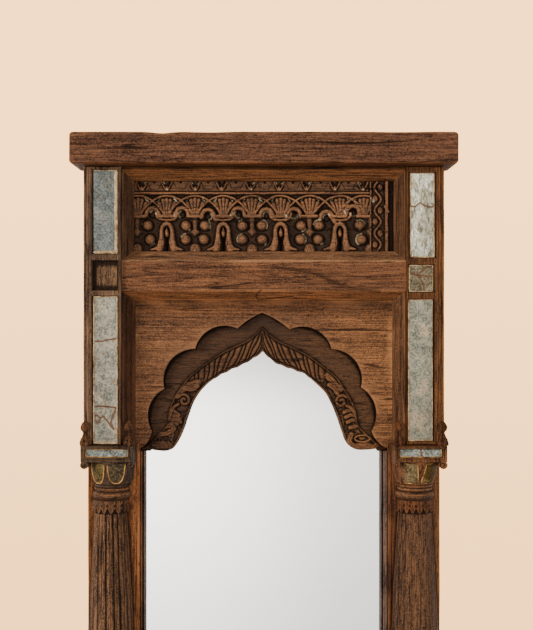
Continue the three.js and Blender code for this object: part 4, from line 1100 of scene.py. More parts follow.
# Jambs and the beads round the glass
jamb = {
    "step": (3.0, 9.0), "wander": 0.8, "groove": 9.0, "grooveHalf": 1.4, "innerWidth": 30.0, "wallSteps": 8,
    "innerLitShadedTint": {"left": (1.8, 1.8, 1.9), "right": (0.47, 0.42, 0.44)}, "paintedShadow": {"left": 2.6, "right": 3.4},
}
bead = {
    "groove": {"left": 6.0, "right": 11.5}, "trim": {"left": 5.3, "right": 0.0}, "lowGroove": 3.4,
    "grooveDepth": 8,
    "tints": {"left": ((1.3, 1.5, 2.0), (0.85, 1.4, 2.4)), "right": ((0.5, 0.75, 1.4), (0.38, 0.64, 1.3))},
}


def makeJambs():
    for sign, side in sides:
        x, depth, z = span(f"jamb_{side}")

        def front(gx, gz):
            out = depth[1] - jamb["wander"] * uneven(gx, gz, (12, 150), 171 + sign)
            out -= 0.35 * uneven(gx, gz, (3.5, 80), 173 + sign, 2)
            away = np.abs(fromEdge(gx, x, -sign) - jamb["groove"] - rough(0, 0, gz, (1, 1, 130), 7, 2))
            return out - 1.5 * unit(1 - away / jamb["grooveHalf"])

        mark = x[1] - jamb["groove"] if sign < 0 else x[0] + jamb["groove"]
        mesh = slab(f"jamb.{side}", x, z, jamb["step"], front, depth[0], [mark], [], 0.6, 175 + sign,
                    jamb["wallSteps"])
        (across, _, height), (foot, head) = spotsOf(mesh).T, span(f"column_shaft_{side}")[2]
        # Painted shadow of the shaft on the jamb beside it. The inner strip is lightened on the left and
        # darkened on the right: painted light and shade.
        beside = np.abs(across - axisOf(sign)) - shaftAt((head - height) / (head - foot), side)
        paintedShadow = np.exp(-(np.clip(beside, 0, None) / jamb["paintedShadow"][side]) ** 2) * 0.8
        inner = fromEdge(across, x, -sign) < jamb["innerWidth"]
        tintMesh(mesh, [(inner, jamb["innerLitShadedTint"][side]), (paintedShadow, black)])
        place(mesh, "jamb" + side.title(), f"jamb_{side}")
        makeBead(sign, side)
    x, depth, z = span("sight_bead_bottom")

    def lowFront(gx, gz):
        groove = unit((gz - z[0] - bead["lowGroove"]) / 1.4)
        return depth[1] - 9 * (1 - groove) - 0.5 * uneven(gx, gz, (60, 6), 187)

    mesh = slab("sightBead.bottom", x, z, (9.0, 2.0), lowFront, depth[0], [],
                [z[0] + bead["lowGroove"], z[0] + bead["lowGroove"] + 1.4], 0.3, 189, 4, 2)
    place(mesh, "litBevelAcross", "sight_bead_bottom")


def makeBead(sign, side):
    x, depth, z = span(f"sight_bead_{side}")
    groove = bead["groove"][side]

    def front(gx, gz):
        out = depth[1] - bead["grooveDepth"] * hump(fromEdge(gx, x, sign), groove, 1.3)
        return out - 0.5 * uneven(gx, gz, (6, 60), 181)

    marks = [x[0] + v if sign < 0 else x[1] - v for v in (groove - 1.5, groove, groove + 1.5)]
    mesh = slab(f"sightBead.{side}", (x[0], x[1] - bead["trim"][side]), z, (2.0, 9.0), front, depth[0],
                marks, [], 0.3, 183 + sign, 4, 2)
    outer = fromEdge(spotsOf(mesh)[:, 0], x, sign)
    lips = bead["tints"][side]
    # The last zone is painted shade, black along the groove.
    tintMesh(mesh, [(1.0, lips[0]), (outer > groove, lips[1]),
                    (hump(outer, groove, 1.4) * 0.9, black)])
    place(mesh, "jamb" + side.title(), f"sight_bead_{side}")


# Columns: capital, bell with its panes, rings, leaf collar, reeded shaft and base
column = {
    "axis": 348.5, "rear": 45.0, "bellNeck": (42, 42), "bellTop": (51, 62), "bellPower": 0.8,
    "shaftTop": {"left": 37.2, "right": 37.0}, "shaftBelly": {"left": 53.0, "right": 56.5}, "shaftFoot": 49.0,
    "bellyAt": 0.55, "reachShare": 0.95, "shaftShift": 3.6, "neckShift": 2.0,
    "lean": 2.0, "leanFrom": -150.0, "leanOver": 250.0,
}


def shaftAt(down, side):  # half width of a shaft at a share of its height from its top
    top, belly = column["shaftTop"][side], column["shaftBelly"][side]
    toBelly = unit(down / column["bellyAt"])
    toFoot = unit((down - column["bellyAt"]) / (1 - column["bellyAt"]))
    half = top + (belly - top) * np.sin(toBelly * math.pi / 2)
    return half - (belly - column["shaftFoot"]) * toFoot ** 2


def axisOf(sign, shift="shaftShift"):  # the left column stands a little further out
    return sign * column["axis"] - (column[shift] if sign < 0 else 0)


def leanOut(mesh, sign):  # the left column leans out a little towards its top
    if sign < 0:
        spots = spotsOf(mesh)
        spots[:, 0] -= column["lean"] * unit((spots[:, 2] - column["leanFrom"]) / column["leanOver"])
        mesh.vertices.foreach_set("co", (spots * mm).ravel())
        mesh.update()


def turnsOf(mesh, axis):  # each point's turn round a column, from 0 at the right to pi, and its height
    spots = spotsOf(mesh)
    return np.arctan2(np.maximum(-spots[:, 1] - column["rear"], 0), spots[:, 0] - axis), spots[:, 2]


capital = {
    "step": (2.4, 1.8), "paneFloor": 105.0, "seat": 1.2, "frame": 5.2, "edge": 3.4, "earBack": 1.0,
    "earFront": 1.5, "ears": {"outer": (9.6, 5.4, 9.4), "inner": (7.4, 4.0, 6.6)},  # inset, drop and radius
    "finials": {"outer": (9.5, 56), "inner": (12.5, 57)},  # inset from the capital's edge and height
    "finialTint": {"left": (1.15, 0.84, 0.62), "right": (0.6, 0.5, 0.47)},
}


def makeCapital(sign, side):
    finish, seat, frameAt = "capital" + side.title(), capital["seat"], capital["frame"]
    x, depth, _ = span(f"capital_{side}")
    foot, top = span(f"capital_bell_{side}")[2][1], span(f"post_{side}")[2][0]
    pane, _, paneZ = span(f"pane_capital_{side}")

    def front(gx, gz):
        out = depth[1] - 0.7 * uneven(gx, gz, (26, 7), 201 + sign)
        inside = insideOf(gx, gz, pane, paneZ)
        sunk = unit((inside + 1.9) / 1.6)
        frameLine = 1.6 * unit(1 - np.abs(inside + frameAt) / 1.2)
        return (out - frameLine) * (1 - sunk) + capital["paneFloor"] * sunk

    marksX = [pane[0] - seat, pane[1] + seat, pane[0] - frameAt, pane[1] + frameAt]
    marksZ = [paneZ[0] - seat, paneZ[1] + seat, paneZ[0] - frameAt]
    mesh = slab(f"capital.{side}", x, (foot, top), capital["step"], front, column["rear"], marksX, marksZ,
                0.7, 205 + sign, 8, capital["edge"])
    place(mesh, finish, f"capital_{side}")
    outerX, innerX = x[::-sign]
    ends = (("outer", outerX, -sign), ("inner", innerX, sign))
    for label, edge, way in ends:
        inset, drop, radius = capital["ears"][label]
        mesh = scroll(f"ear.{side}.{label}", edge + way * inset, foot - drop, radius,
                      column["rear"] + capital["earBack"], depth[1] - capital["earFront"], sign)
        place(mesh, finish)
    for label, edge, way in ends:
        inset, tall = capital["finials"][label]
        mesh = finial(f"finial.{side}.{label}", edge + way * inset, top - 1, tall, 211 + sign)
        tintMesh(mesh, [(1.0, capital["finialTint"][side])])
        place(mesh, finish)


scrollShape = {"turns": 40, "rings": 11, "wallSteps": 6, "squeeze": 0.94, "windings": 1.4, "lip": 1.2,
               "cutDepth": 1.6, "cutFrom": 0.15, "cutTo": 0.9}


# A small rolled end under the capital: a round bar along the depth with a spiral cut in its front.
def scroll(name, middleX, middleZ, radius, rear, front, sign):
    shape, wallSteps, rings = scrollShape, scrollShape["wallSteps"], scrollShape["rings"]
    angle = np.linspace(0, 2 * math.pi, shape["turns"] + 1)[:-1]

    def ring(reach, deep):
        return np.stack([middleX + reach * np.cos(angle), -deep + 0 * angle,
                         middleZ + reach * shape["squeeze"] * np.sin(angle)], 1)

    lip = front - shape["lip"]
    rows = [ring(radius, rear + (lip - rear) * k / wallSteps) for k in range(wallSteps + 1)]
    for share in np.arange(1, rings + 1) / rings:
        spiral = np.clip(np.cos(angle * sign + share * 2 * math.pi * shape["windings"]), -0.2, 1)
        cut = spiral * (shape["cutFrom"] < share < shape["cutTo"])
        fall = shape["cutDepth"] * cut + shape["lip"] * (1 - share) ** 6
        rows.append(ring(radius * (1 - share), front - fall))
    return ringStack(name, rows)


def ringStack(name, rows):  # closed rings of points, one after the other, with a flat face at each end
    index = np.arange(len(rows) * len(rows[0])).reshape(len(rows), -1)
    after = np.roll(index, -1, axis=1)
    quads = np.stack([index[:-1], after[:-1], after[1:], index[1:]], -1).reshape(-1, 4)
    return closedMesh(name, rows, quads.tolist() + [index[0, ::-1].tolist(), index[-1].tolist()])


finialShape = {  # half widths at shares of the height
    "heights": [0, 0.05, 0.12, 0.2, 0.28, 0.36, 0.44, 0.5, 0.54, 0.58, 0.62, 0.68, 0.75, 0.82, 0.89, 0.95, 1],
    "halves": [11.5, 12.4, 12.6, 11.4, 9.4, 7.4, 5.6, 4.6, 4.6, 6.2, 8.4, 9.8, 10.3, 9.6, 7.7, 5.2, 1.5],
    "depth": 96.0, "depthShare": 0.75, "turns": 36, "rings": 42,
}


def finial(name, middleX, foot, tall, seed):  # a leaf with a knob on it, standing against the post
    shape = finialShape
    angle = np.linspace(0, 2 * math.pi, shape["turns"] + 1)[:-1]
    rows = []
    for share in np.linspace(0, 1, shape["rings"]):
        leaf = 1 + (0.13 * np.cos(angle * 5) if share < 0.5 else 0)
        pit = 3.6 * hump(share, 0.2, 0.06) * hump(np.sin(angle), -1, 0.12)
        ribs = 0.16 * np.clip(np.cos(angle * 4 + share * 9), -1, 0.2) * (share >= 0.5)
        lumps = 0.12 * rough(np.cos(angle) * 9, np.sin(angle) * 9, share * tall, (4, 4, 5), seed, 2)
        reach = (np.interp(share, shape["heights"], shape["halves"]) * leaf - pit) * (1 + ribs + lumps)
        rows.append(np.stack([middleX + reach * np.cos(angle), reach * np.sin(angle) * shape["depthShare"]
                              - shape["depth"], foot + share * tall + 0 * angle], 1))
    return ringStack(name, rows)


petals = {  # angles from straight ahead towards the outer side, as low and high at the top and at the foot
    "left": {"outer": ((13, 58), (16, 55), True), "inner": ((-40, 5), (-37, 2), True)},
    "right": {"outer": ((22, 74), (8, 46), False), "inner": ((-36, -2), (-37, 2), False)},
}
petalShape = {"rise": 2.3, "thick": 2.0, "puttyHeight": 1.8, "puttyWidth": {"left": 3.0, "right": 2.2},
              "rows": 26, "columns": 18}


def bellAt(share):  # half width and reach of the bell
    opened = np.sin(unit(share) * math.pi / 2) ** column["bellPower"]
    return [low + (high - low) * opened for low, high in zip(column["bellNeck"], column["bellTop"])]


def makeBell(sign, side):
    axis = sign * column["axis"]
    z = span(f"capital_bell_{side}")[2]

    def push(turn, level):
        degrees, share = np.degrees(np.arcsin(np.clip(np.cos(turn), -1, 1))) * sign, shareOf(level, z)
        out = -0.5 * (1 + rough(turn * 40, 0, level, (9, 1, 9), 221 + sign, 3))
        out -= 3.0 * hump(degrees, -66, 11) * np.exp(-((share - 0.6) / 0.28) ** 4)
        return out - 1.6 * hump(share, 0.1, 0.035)

    mesh = halfTurn(f"bell.{side}", axis, z, 34, lambda level: bellAt(shareOf(level, z)), push, 84)
    place(mesh, "capital" + side.title(), f"capital_bell_{side}")

    def surface(degrees, level, rise):  # a spot on the bell, or over it
        half, reach = bellAt(shareOf(level, z))
        turn = np.radians(degrees)
        return np.stack([axis + sign * (half + rise) * np.sin(turn),
                         -column["rear"] - (reach + rise) * np.cos(turn), level], -1)

    rows, columns = petalShape["rows"], petalShape["columns"]
    for label, (top, foot, rounded) in petals[side].items():
        z0, z1 = span(f"petal_{label}_{side}")[2]
        down, across = np.meshgrid(np.linspace(0, 1, rows), np.linspace(-1, 1, columns), indexing="ij")
        low, high = (top[k] + (foot[k] - top[k]) * down for k in range(2))
        narrow = np.sqrt(1 - down ** 4.2 * 0.9) if rounded else 1 - 0.1 * down ** 8
        degrees = (low + high) / 2 + (high - low) / 2 * narrow * across
        level = z1 - 0.6 - down * (z1 - z0 - 0.6)
        lean = 0.5 * across + 0.35 * rough(degrees, 0, level, (12, 1, 12), 231, 2)
        grid = surface(degrees, level, petalShape["rise"] - 0.6 + lean)
        made, faces = closeShell(grid, surface(degrees, level, -petalShape["thick"]) - grid)
        mesh = closedMesh(f"petal.{label}.{side}", made, faces)
        place(mesh, f"petal.{side}.{label}", f"petal_{label}_{side}")
        edge = [(r, 0) for r in range(rows)] + [(rows - 1, c) for c in range(1, columns)]
        edge += [(r, columns - 1) for r in range(rows - 2, -1, -1)]
        upright = edge[:26] if label == "outer" else edge[43:]
        broken = {"a": upright, "b": edge[24:36], "c": [(0, c) for c in range(8)]}
        runs = {"round": edge} if side == "left" else broken
        for key, path in runs.items():
            spots = [(degrees[spot], level[spot]) for spot in path]
            turns, levels = np.array(spots).T
            line = surface(turns, levels, petalShape["rise"] - 0.5)
            normals = surface(turns, levels, 6.0) - line
            normals /= np.linalg.norm(normals, axis=1)[:, None]
            ribbon(f"putty.{label}.{side}.{key}", line, normals, petalShape["puttyWidth"][side],
                   petalShape["puttyHeight"], "gilt", 241 + sign + len(label) + ord(key[0]))


neck = {
    "heights": [0, 0.12, 0.2, 0.3, 0.4, 0.5, 0.58, 0.64, 0.68, 0.76, 0.84, 0.9, 0.95, 1],
    "halves": [40, 41, 43.6, 44.8, 45, 44.5, 43, 40.5, 39.5, 41, 41.5, 40, 39.5, 41.8],
    "reaches": [40, 42, 45, 46.6, 47, 46.2, 44, 41, 39.5, 41, 41.5, 40, 39.5, 41.8],
    "lit": ((0.5, 0.08), (0.84, 0.05)), "dull": ((0.1, 0.12), (0.67, 0.04), (0.96, 0.05)),  # place and width
    "litTint": (1.9, 1.8, 1.7), "shadedBandTint": (0.35, 0.3, 0.3),
}


def makeNeck(sign, side):
    z = span(f"neck_ring_{side}")[2]

    def push(turn, level):
        out = -0.4 * (1 + rough(turn * 40, 0, level, (22, 1, 6), 251 + sign, 3))
        crackAt = 0.27 + 0.04 * rough(turn * 40, 0, 0, (30, 1, 1), 255, 2)
        return out - 1.6 * hump(shareOf(level, z), crackAt, 0.022) * (0.5 + 0.5 * np.sin(turn))

    def profile(level):
        return [np.interp(shareOf(level, z), neck["heights"], neck[key]) for key in ("halves", "reaches")]

    mesh = halfTurn(f"neckRing.{side}", axisOf(sign, "neckShift"), z, 54, profile, push, 72)
    # Painted light on the lit bands and painted shade on the shaded ones.
    share = shareOf(spotsOf(mesh)[:, 2], z)
    lit, dull = (sum(hump(share, at, wide) for at, wide in neck[key]) for key in ("lit", "dull"))
    tintMesh(mesh, [(dull, neck["shadedBandTint"]), (lit * 0.8, neck["litTint"])])
    place(mesh, "neck", f"neck_ring_{side}")


collar = {
    "leaves": 8, "tall": 14.0, "thick": 3.4, "lift": 1.4, "clearance": 0.3, "reachShare": 0.97,
    "tint": {"left": (1.9, 1.5, 1.2), "right": (0.85, 0.78, 0.75)},
}


def makeCollar(sign, side):
    axis, leaves, tall = axisOf(sign), collar["leaves"], collar["tall"]
    z = low, high = span(f"leaf_collar_{side}")[2]
    foot, top = span(f"column_shaft_{side}")[2]

    def push(turn, level):
        phase = turn / math.pi * leaves + 0.12 * np.sin(turn * 3)
        tip = np.abs(phase % 1 - 0.5) * 2  # 0 in the middle of a leaf, 1 between two
        over = unit((level - (low + 1 + 13 * tip ** 1.5)) / 1.6)
        vein = 1.1 * hump(phase % 1, 0.5, 0.07) * unit((high - level) / tall)
        spread = ((phase + 0.5) % 1 - 0.5) * math.pi * 37 / leaves
        hole = 3.4 * np.exp(-(spread ** 2 + (level - low - 19) ** 2) / 9.0)
        lift = collar["lift"] * unit((low + tall - level) / tall) * (1 - tip)
        wave = 0.35 * rough(turn * 40, 0, level, (7, 1, 7), 261 + sign, 2)
        return over * (collar["thick"] + lift - vein - hole + wave) + (1 - over) * -0.8

    def profile(level):
        half = shaftAt((top - level) / (top - foot), side) + collar["clearance"]
        return half, half * collar["reachShare"]

    mesh = halfTurn(f"leafCollar.{side}", axis, z, 44, profile, push, 200)
    # Painted shade: black in the gaps between the leaves and in their holes.
    hollow = unit((2.2 - push(*turnsOf(mesh, axis))) / 2.6) * 0.85
    tintMesh(mesh, [(1.0, collar["tint"][side]), (hollow, black)])
    leanOut(mesh, sign)
    place(mesh, "capital" + side.title(), f"leaf_collar_{side}")


shaftCuts = {  # angle in shares of the half turn, half width, depth at the top and at the belly
    "left": [(0.1, 0.014, 2.0, 2.8), (0.2, 0.012, 2.6, 3.0), (0.3, 0.013, 3.4, 3.4),
             (0.375, 0.006, 1.4, 1.6), (0.45, 0.013, 3.2, 3.6), (0.525, 0.007, 1.6, 1.2),
             (0.585, 0.012, 3.4, 3.2), (0.68, 0.013, 3.0, 3.2), (0.755, 0.006, 1.2, 1.6),
             (0.82, 0.013, 3.0, 3.0), (0.91, 0.013, 2.4, 2.8)],
    "right": [(0.09, 0.012, 3.4, 1.6), (0.19, 0.008, 3.4, 1.8), (0.3, 0.007, 1.2, 0.9),
              (0.41, 0.006, 0.8, 0.8), (0.55, 0.006, 0.9, 1.0), (0.7, 0.008, 1.2, 1.0),
              (0.86, 0.012, 2.4, 2.6)],
}
shaft = {"cutWider": 1.35, "reeds": 7, "reedHeight": 0.9, "darkDepth": 1.8, "shadedRightTint": (0.76, 0.75, 0.74)}


def makeShaft(sign, side):
    axis = axisOf(sign)
    z = low, high = span(f"column_shaft_{side}")[2]

    def profile(level):
        half = shaftAt((high - level) / (high - low), side)
        return half, half * column["reachShare"]

    def cutAt(turn, level):
        share = 1 - turn / math.pi  # from the left edge to the right one
        down = (high - level) / (high - low)
        sway = 0.008 * rough(0, 0, level, (1, 1, 120), 275 + sign, 2)
        cut = 0 * turn
        for at, half, atTop, atBelly in shaftCuts[side]:
            deep = atTop + (atBelly - atTop) * unit(down * 2)
            fade = 0.75 + 0.25 * rough(0, at * 90, level, (1, 1, 90), 277, 2)
            cut = np.maximum(cut, deep * fade * hump(share - sway, at, half * shaft["cutWider"]))
        return cut

    def push(turn, level):
        out = -0.5 * (1 + rough(turn * 45, 0, level, (5, 1, 150), 271 + sign, 3)) - cutAt(turn, level)
        if side == "left":
            reeds = np.abs(np.sin((math.pi - turn) * shaft["reeds"])) ** 0.7
            out = out + shaft["reedHeight"] * (reeds - 1)
        return out

    mesh = halfTurn(f"shaft.{side}", axis, z, 120, profile, push, 260)
    # Painted shade: black in the cuts, and the left shaft's right half darkened.
    dark = unit(cutAt(*turnsOf(mesh, axis)) / shaft["darkDepth"]) * 0.9
    shadedRightHalf = unit((spotsOf(mesh)[:, 0] - axis) / 20 + 0.3) * (sign < 0)
    tintMesh(mesh, [(shadedRightHalf, shaft["shadedRightTint"]), (dark, black)])
    leanOut(mesh, sign)
    place(mesh, "shaft" + side.title(), f"column_shaft_{side}")


base = {
    "heights": [0, 0.12, 0.15, 0.2, 0.24, 0.34, 0.44, 0.54, 0.57, 0.64, 0.68, 0.76, 0.84, 0.92, 1],
    "halves": [56.5, 56.5, 55.5, 52, 52, 55, 55.4, 52.5, 52, 50.5, 49.5, 53, 53.6, 51.5, 49.8],
    "footReach": 2.4,
}


def makeBase(sign, side):
    z = span(f"column_base_{side}")[2]

    def profile(level):
        half = np.interp(shareOf(level, z), base["heights"], base["halves"])
        return half, half + base["footReach"] * unit(1 - shareOf(level, z))

    def push(turn, level):
        return -0.5 * (1 + rough(turn * 50, 0, level, (24, 1, 8), 281 + sign, 3))

    mesh = halfTurn(f"columnBase.{side}", sign * column["axis"], z, 66, profile, push, 84)
    place(mesh, "across", f"column_base_{side}")


makeJambs()
for sign, side in sides:
    for make in (makeCapital, makeBell, makeNeck, makeCollar, makeShaft, makeBase):
        make(sign, side)
print("jambs and columns made")


# Carving: heights over a sheet of points, raised or sunk round lines, spots and outlines
class Relief:
    def __init__(self, x, z, ground):
        self.x, self.z, self.height = x, z, ground + 0.0 * x
        self.paint = 0.0 * x

    def window(self, path, margin):
        points = np.array(path, float)
        low, high = points.min(0) - margin, points.max(0) + margin
        return (self.x > low[0]) & (self.x < high[0]) & (self.z > low[1]) & (self.z < high[1])

    def near(self, path, half, margin):  # the points round a path and how far away each one is
        inside = self.window(path, margin)
        return inside, distanceTo(self.x[inside], self.z[inside], path) / half

    def nearSpot(self, x, z, halfX, halfZ, margin=1.0):
        inside = self.window([(x, z)], max(halfX, halfZ) * margin)
        return inside, np.hypot((self.x[inside] - x) / halfX, (self.z[inside] - z) / halfZ)

    def lift(self, inside, share, top):
        share = unit(share)
        low = self.height[inside]
        self.height[inside] = low + np.maximum(top - low, 0) * np.sqrt(1 - (1 - share) ** 2)

    def ridge(self, path, half, top, flat=0.3):
        inside, away = self.near(path, half, half)
        self.lift(inside, (1 - away) / (1 - flat), top)

    def wedge(self, start, end, halfStart, halfEnd, top):  # a ridge that widens along its way
        inside = self.window([start, end], max(halfStart, halfEnd))
        px, pz = self.x[inside] - start[0], self.z[inside] - start[1]
        dx, dz = end[0] - start[0], end[1] - start[1]
        along = unit((px * dx + pz * dz) / (dx * dx + dz * dz))
        away = np.hypot(px - along * dx, pz - along * dz)
        self.lift(inside, (1 - away / (halfStart + (halfEnd - halfStart) * along)) / 0.8, top)

    def groove(self, path, half, deep):
        inside, away = self.near(path, half, half * 2.6)
        self.height[inside] -= deep * np.exp(-away ** 2)

    def daub(self, path, half):  # old paint along a path
        inside, away = self.near(path, half, half)
        self.paint[inside] = np.maximum(self.paint[inside], unit(1.7 * (1 - away)))

    def dome(self, x, z, halfX, halfZ, top, power=1.0):
        inside, away = self.nearSpot(x, z, halfX, halfZ)
        self.lift(inside, (1 - away) * power, top)

    def pit(self, x, z, halfX, halfZ, floor, soft=0.25):
        inside, away = self.nearSpot(x, z, halfX, halfZ, 1.3)
        share = unit((1 + soft / 2 - away) / soft)
        low = self.height[inside]
        self.height[inside] = low - np.maximum(low - floor, 0) * share

    def area(self, outline, top, bevel=2.0):
        inside = self.window(outline, 1)
        px, pz = self.x[inside], self.z[inside]
        closed = list(outline) + [outline[0]]
        crossings = np.zeros(px.shape, int)
        for (x0, z0), (x1, z1) in zip(closed, closed[1:]):
            if z0 != z1:
                between = (pz >= min(z0, z1)) & (pz < max(z0, z1))
                crossings += between & (px < x0 + (pz - z0) * (x1 - x0) / (z1 - z0))
        share = np.where(crossings % 2 == 1, distanceTo(px, pz, closed) / bevel, 0)
        self.lift(inside, share, top)

    def spiral(self, x, z, radius, turns, start, way, half, top):
        steps = np.linspace(0, 1, 40)
        reach = radius * (1 - 0.82 * steps)
        angle = start + way * steps * turns * 2 * math.pi
        self.ridge(circlePoints(x, z, reach, reach, angle), half, top)


def circlePoints(x, z, reachX, reachZ, angles):
    return list(zip(x + reachX * np.cos(angles), z + reachZ * np.sin(angles)))


# Frieze: places along it are in millimetres from the middle
frieze = {
    "fans": [-291.7, -225.2, -159.6, -94.0, -27.5, 39.2, 106.9, 176.4, 232.0],
    "hoods": [-225.2, -94.0, 39.2, 176.4],
    "buds": [-283, -225.2, -159.6, -97.8, -30.3, 35.5, 99.2, 164.8, 229.7],
    "holes": [(-258, 788), (-190, 788), (-129.5, 783.5), (-59.3, 788.5), (6.5, 786), (69.7, 786),
              (145.5, 780), (206.5, 792.5)],
    "beads": [[-269.7, -264], [-181, -181, -137, -139], [-49.6, -49.6, -5, -4], [86.5, 84.8, 128, 126],
              [222.7, 226.6]],
    "ground": 36.0, "pitFloor": 29.0, "face": 40.5, "rib": 44.6, "high": 45.6, "step": 1.15,
    "bandLow": 839.8, "railLow": 834.0, "archTop": 830.5, "archFoot": 793.0, "archHalf": 58.0,
    "fanTop": 827.0, "fanFoot": 788.5, "beadRows": [762.0, 729.7], "beadRadius": 12.4,
    "stripLow": 246.0, "stripHigh": 278.5, "vineWave": 53.0, "wobble": 0.9, "left": -301, "foot": 702,
    "leafSpread": (3.9, 8.7), "leafHalves": (2.7, 5.1), "leafHeight": 43.8, "paintGap": 0.6, "holePaint": 8.2,
    "highTint": (1.14, 1.12, 1.1),
}
hood = {  # the right half of a hood, from its middle: wedges, ridges and grooves with widths and heights
    "wedges": [((12.2, 742), (12.9, 722), 4.9, 7.8, 45.2), ((12.9, 722), (16.5, 709), 7.8, 9.6, 45.0),
               ((20, 710), (36, 706), 6.0, 2.6, 44.2)],
    "rim": ([(0, 766), (6, 764), (10.2, 758), (12, 750), (12.3, 741)], 5.4, 45.3, 0.12),
    "grooves": [([(0, 762.4), (4.6, 760), (8.0, 753), (8.6, 742), (9.2, 728), (11, 714)], 0.8, 1.5),
                ([(22, 716), (29, 711), (36, 710.5)], 0.9, 1.8)],
}
saucerRun = [(-25, 790), (-22.5, 781.5), (-14, 775.6), (0, 774), (14, 775.6), (22.5, 781.5), (25, 790)]
ribbonRun = [(-15, -3), (-13.6, 6), (-8.5, 12.6), (0, 15), (8.5, 12.6), (13.6, 5), (15.4, -4), (19, -10)]


def carveFan(sheet, x):
    f = frieze
    rise = f["archTop"] - f["archFoot"]
    across = np.linspace(-1, 1, 25)
    arc = [(x + f["archHalf"] * t, f["archFoot"] + rise * (1 - abs(t) ** 2.1)) for t in across]
    atFoot, atTop = f["leafSpread"]
    for k in (-2, 2, -1, 1, 0):
        foot, top = (x + k * atFoot, f["fanFoot"]), (x + k * atTop, f["fanTop"] - 4.5 - k * k * 2.2)
        sheet.wedge(foot, top, *f["leafHalves"], f["leafHeight"] - 0.3 * abs(k))
    sheet.ridge(arc, 2.9, f["rib"])


def moved(run, x, way=1, z=0):  # a run of points carried to its place, mirrored where way is -1
    return [(x + way * a, z + b) for a, b in run]


def carveHood(sheet, x):
    for sign in (-1, 1):
        for start, end, *sizes in hood["wedges"]:
            sheet.wedge(*moved([start, end], x, sign), *sizes)
        sheet.ridge(moved(hood["rim"][0], x, sign), *hood["rim"][1:])
        for run, half, deep in hood["grooves"]:
            sheet.groove(moved(run, x, sign), half, deep)
    sheet.pit(x, 746, 7.6, 13.6, 30.5, 0.3)
    sheet.dome(x, 743.5, 5.4, 10.5, 43.4, 1.3)
    sheet.wedge((x, 749), (x, 758.5), 3.6, 0.6, 41.8)
    sheet.groove([(x, 703), (x, 731)], 2.9, 12)


def carveSaucer(sheet, x, wide):
    f = frieze
    if wide:
        sheet.ridge(moved(saucerRun, x), 3.6, 44.9, 0.15)
        sheet.groove([(x - 18, 778.9), (x, 777.6), (x + 18, 778.9)], 0.9, 3.4)
    half = 13 if wide else 15.5
    sheet.ridge([(x - half, 783.4), (x, 782.8), (x + half, 783.4)], 4.5, f["high"], 0.2)


def carveRibbon(sheet, x, z, way):  # way: 1 if the hood's side of the hole is to the right, -1 if to the left
    sheet.ridge(moved(ribbonRun, x, way, z), 5.2, 44.9, 0.1)
    sheet.pit(x, z, 9.2, 9.2, frieze["pitFloor"])
    sheet.dome(x, z - 1, 6.4, 6.4, 33.5, 2.0)


def middleOf(xs):  # where the stem between a group of beads stands
    return sum(xs) / len(xs) if len(xs) == 4 else xs[0] + (-25 if xs[0] < 0 else 25)


def carveBeads(sheet, xs):
    f = frieze
    middle = middleOf(xs)
    for n, x in enumerate(xs):
        sheet.pit(x, f["beadRows"][n % 2], f["beadRadius"] + 3.4, f["beadRadius"] + 3.4, 31.5, 0.2)
    sheet.area(moved(((0, 12), (12, 0), (0, -12), (-12, 0)), middle, 1, 747), 41.8, 7)
    sheet.dome(middle, 706, 13.0, 15, 43.2, 1.4)
    sheet.groove([(middle - 5, 703), (middle, 716), (middle + 5, 703)], 0.8, 1.6)
    sheet.wedge((middle, 754), (middle, 776), 5.0, 6.5, 39.6)
    for n, x in enumerate(xs):
        sheet.dome(x, f["beadRows"][n % 2], f["beadRadius"], f["beadRadius"], f["high"], 1.1)


def daubFrieze(sheet):  # what is left of the old paint, mostly in the hollows
    f = frieze
    for n, (x, z) in enumerate([(x, f["beadRows"][k % 2]) for xs in f["beads"] for k, x in enumerate(xs)]):
        turn = 2 * math.pi * hashed(n, 1, 3, 411)
        spread = 0.5 + 0.9 * hashed(n, 5, 7, 413)
        reach = f["beadRadius"] + f["paintGap"]
        sheet.daub(circlePoints(x, z, reach, reach, np.linspace(turn - spread, turn + spread, 12)), 1.9)
    for n, x in enumerate(f["fans"]):
        for sign in (-1, 1):
            half = 3.0 if hashed(n, sign, 1, 417) > 0.4 else 1.5
            sheet.daub([(x + sign * 17, 824.5), (x + sign * 22, 817)], half)
    for n, (x, z) in enumerate(f["holes"]):
        start, reach = 6.28 * hashed(n, 2, 9, 419), f["holePaint"]
        sheet.daub(circlePoints(x, z, reach, reach, np.linspace(start, start + 2.4, 10)), 2.2)
        if n % 2:
            sheet.daub([(x - 17, z - 5), (x - 21, z + 4)], 1.8)
    for n, x in enumerate(f["buds"]):
        for sign in (-1, 1):
            if hashed(n, sign, 4, 421) > 0.25:
                sheet.daub([(x + sign * 8, 863), (x + sign * 5.5, 859)], 2.2)
        sheet.daub([(x - 1, 846), (x + 2, 845)], 1.6)
    for x in f["hoods"]:
        sheet.daub([(x, 706), (x + 0.6, 722)], 1.9)


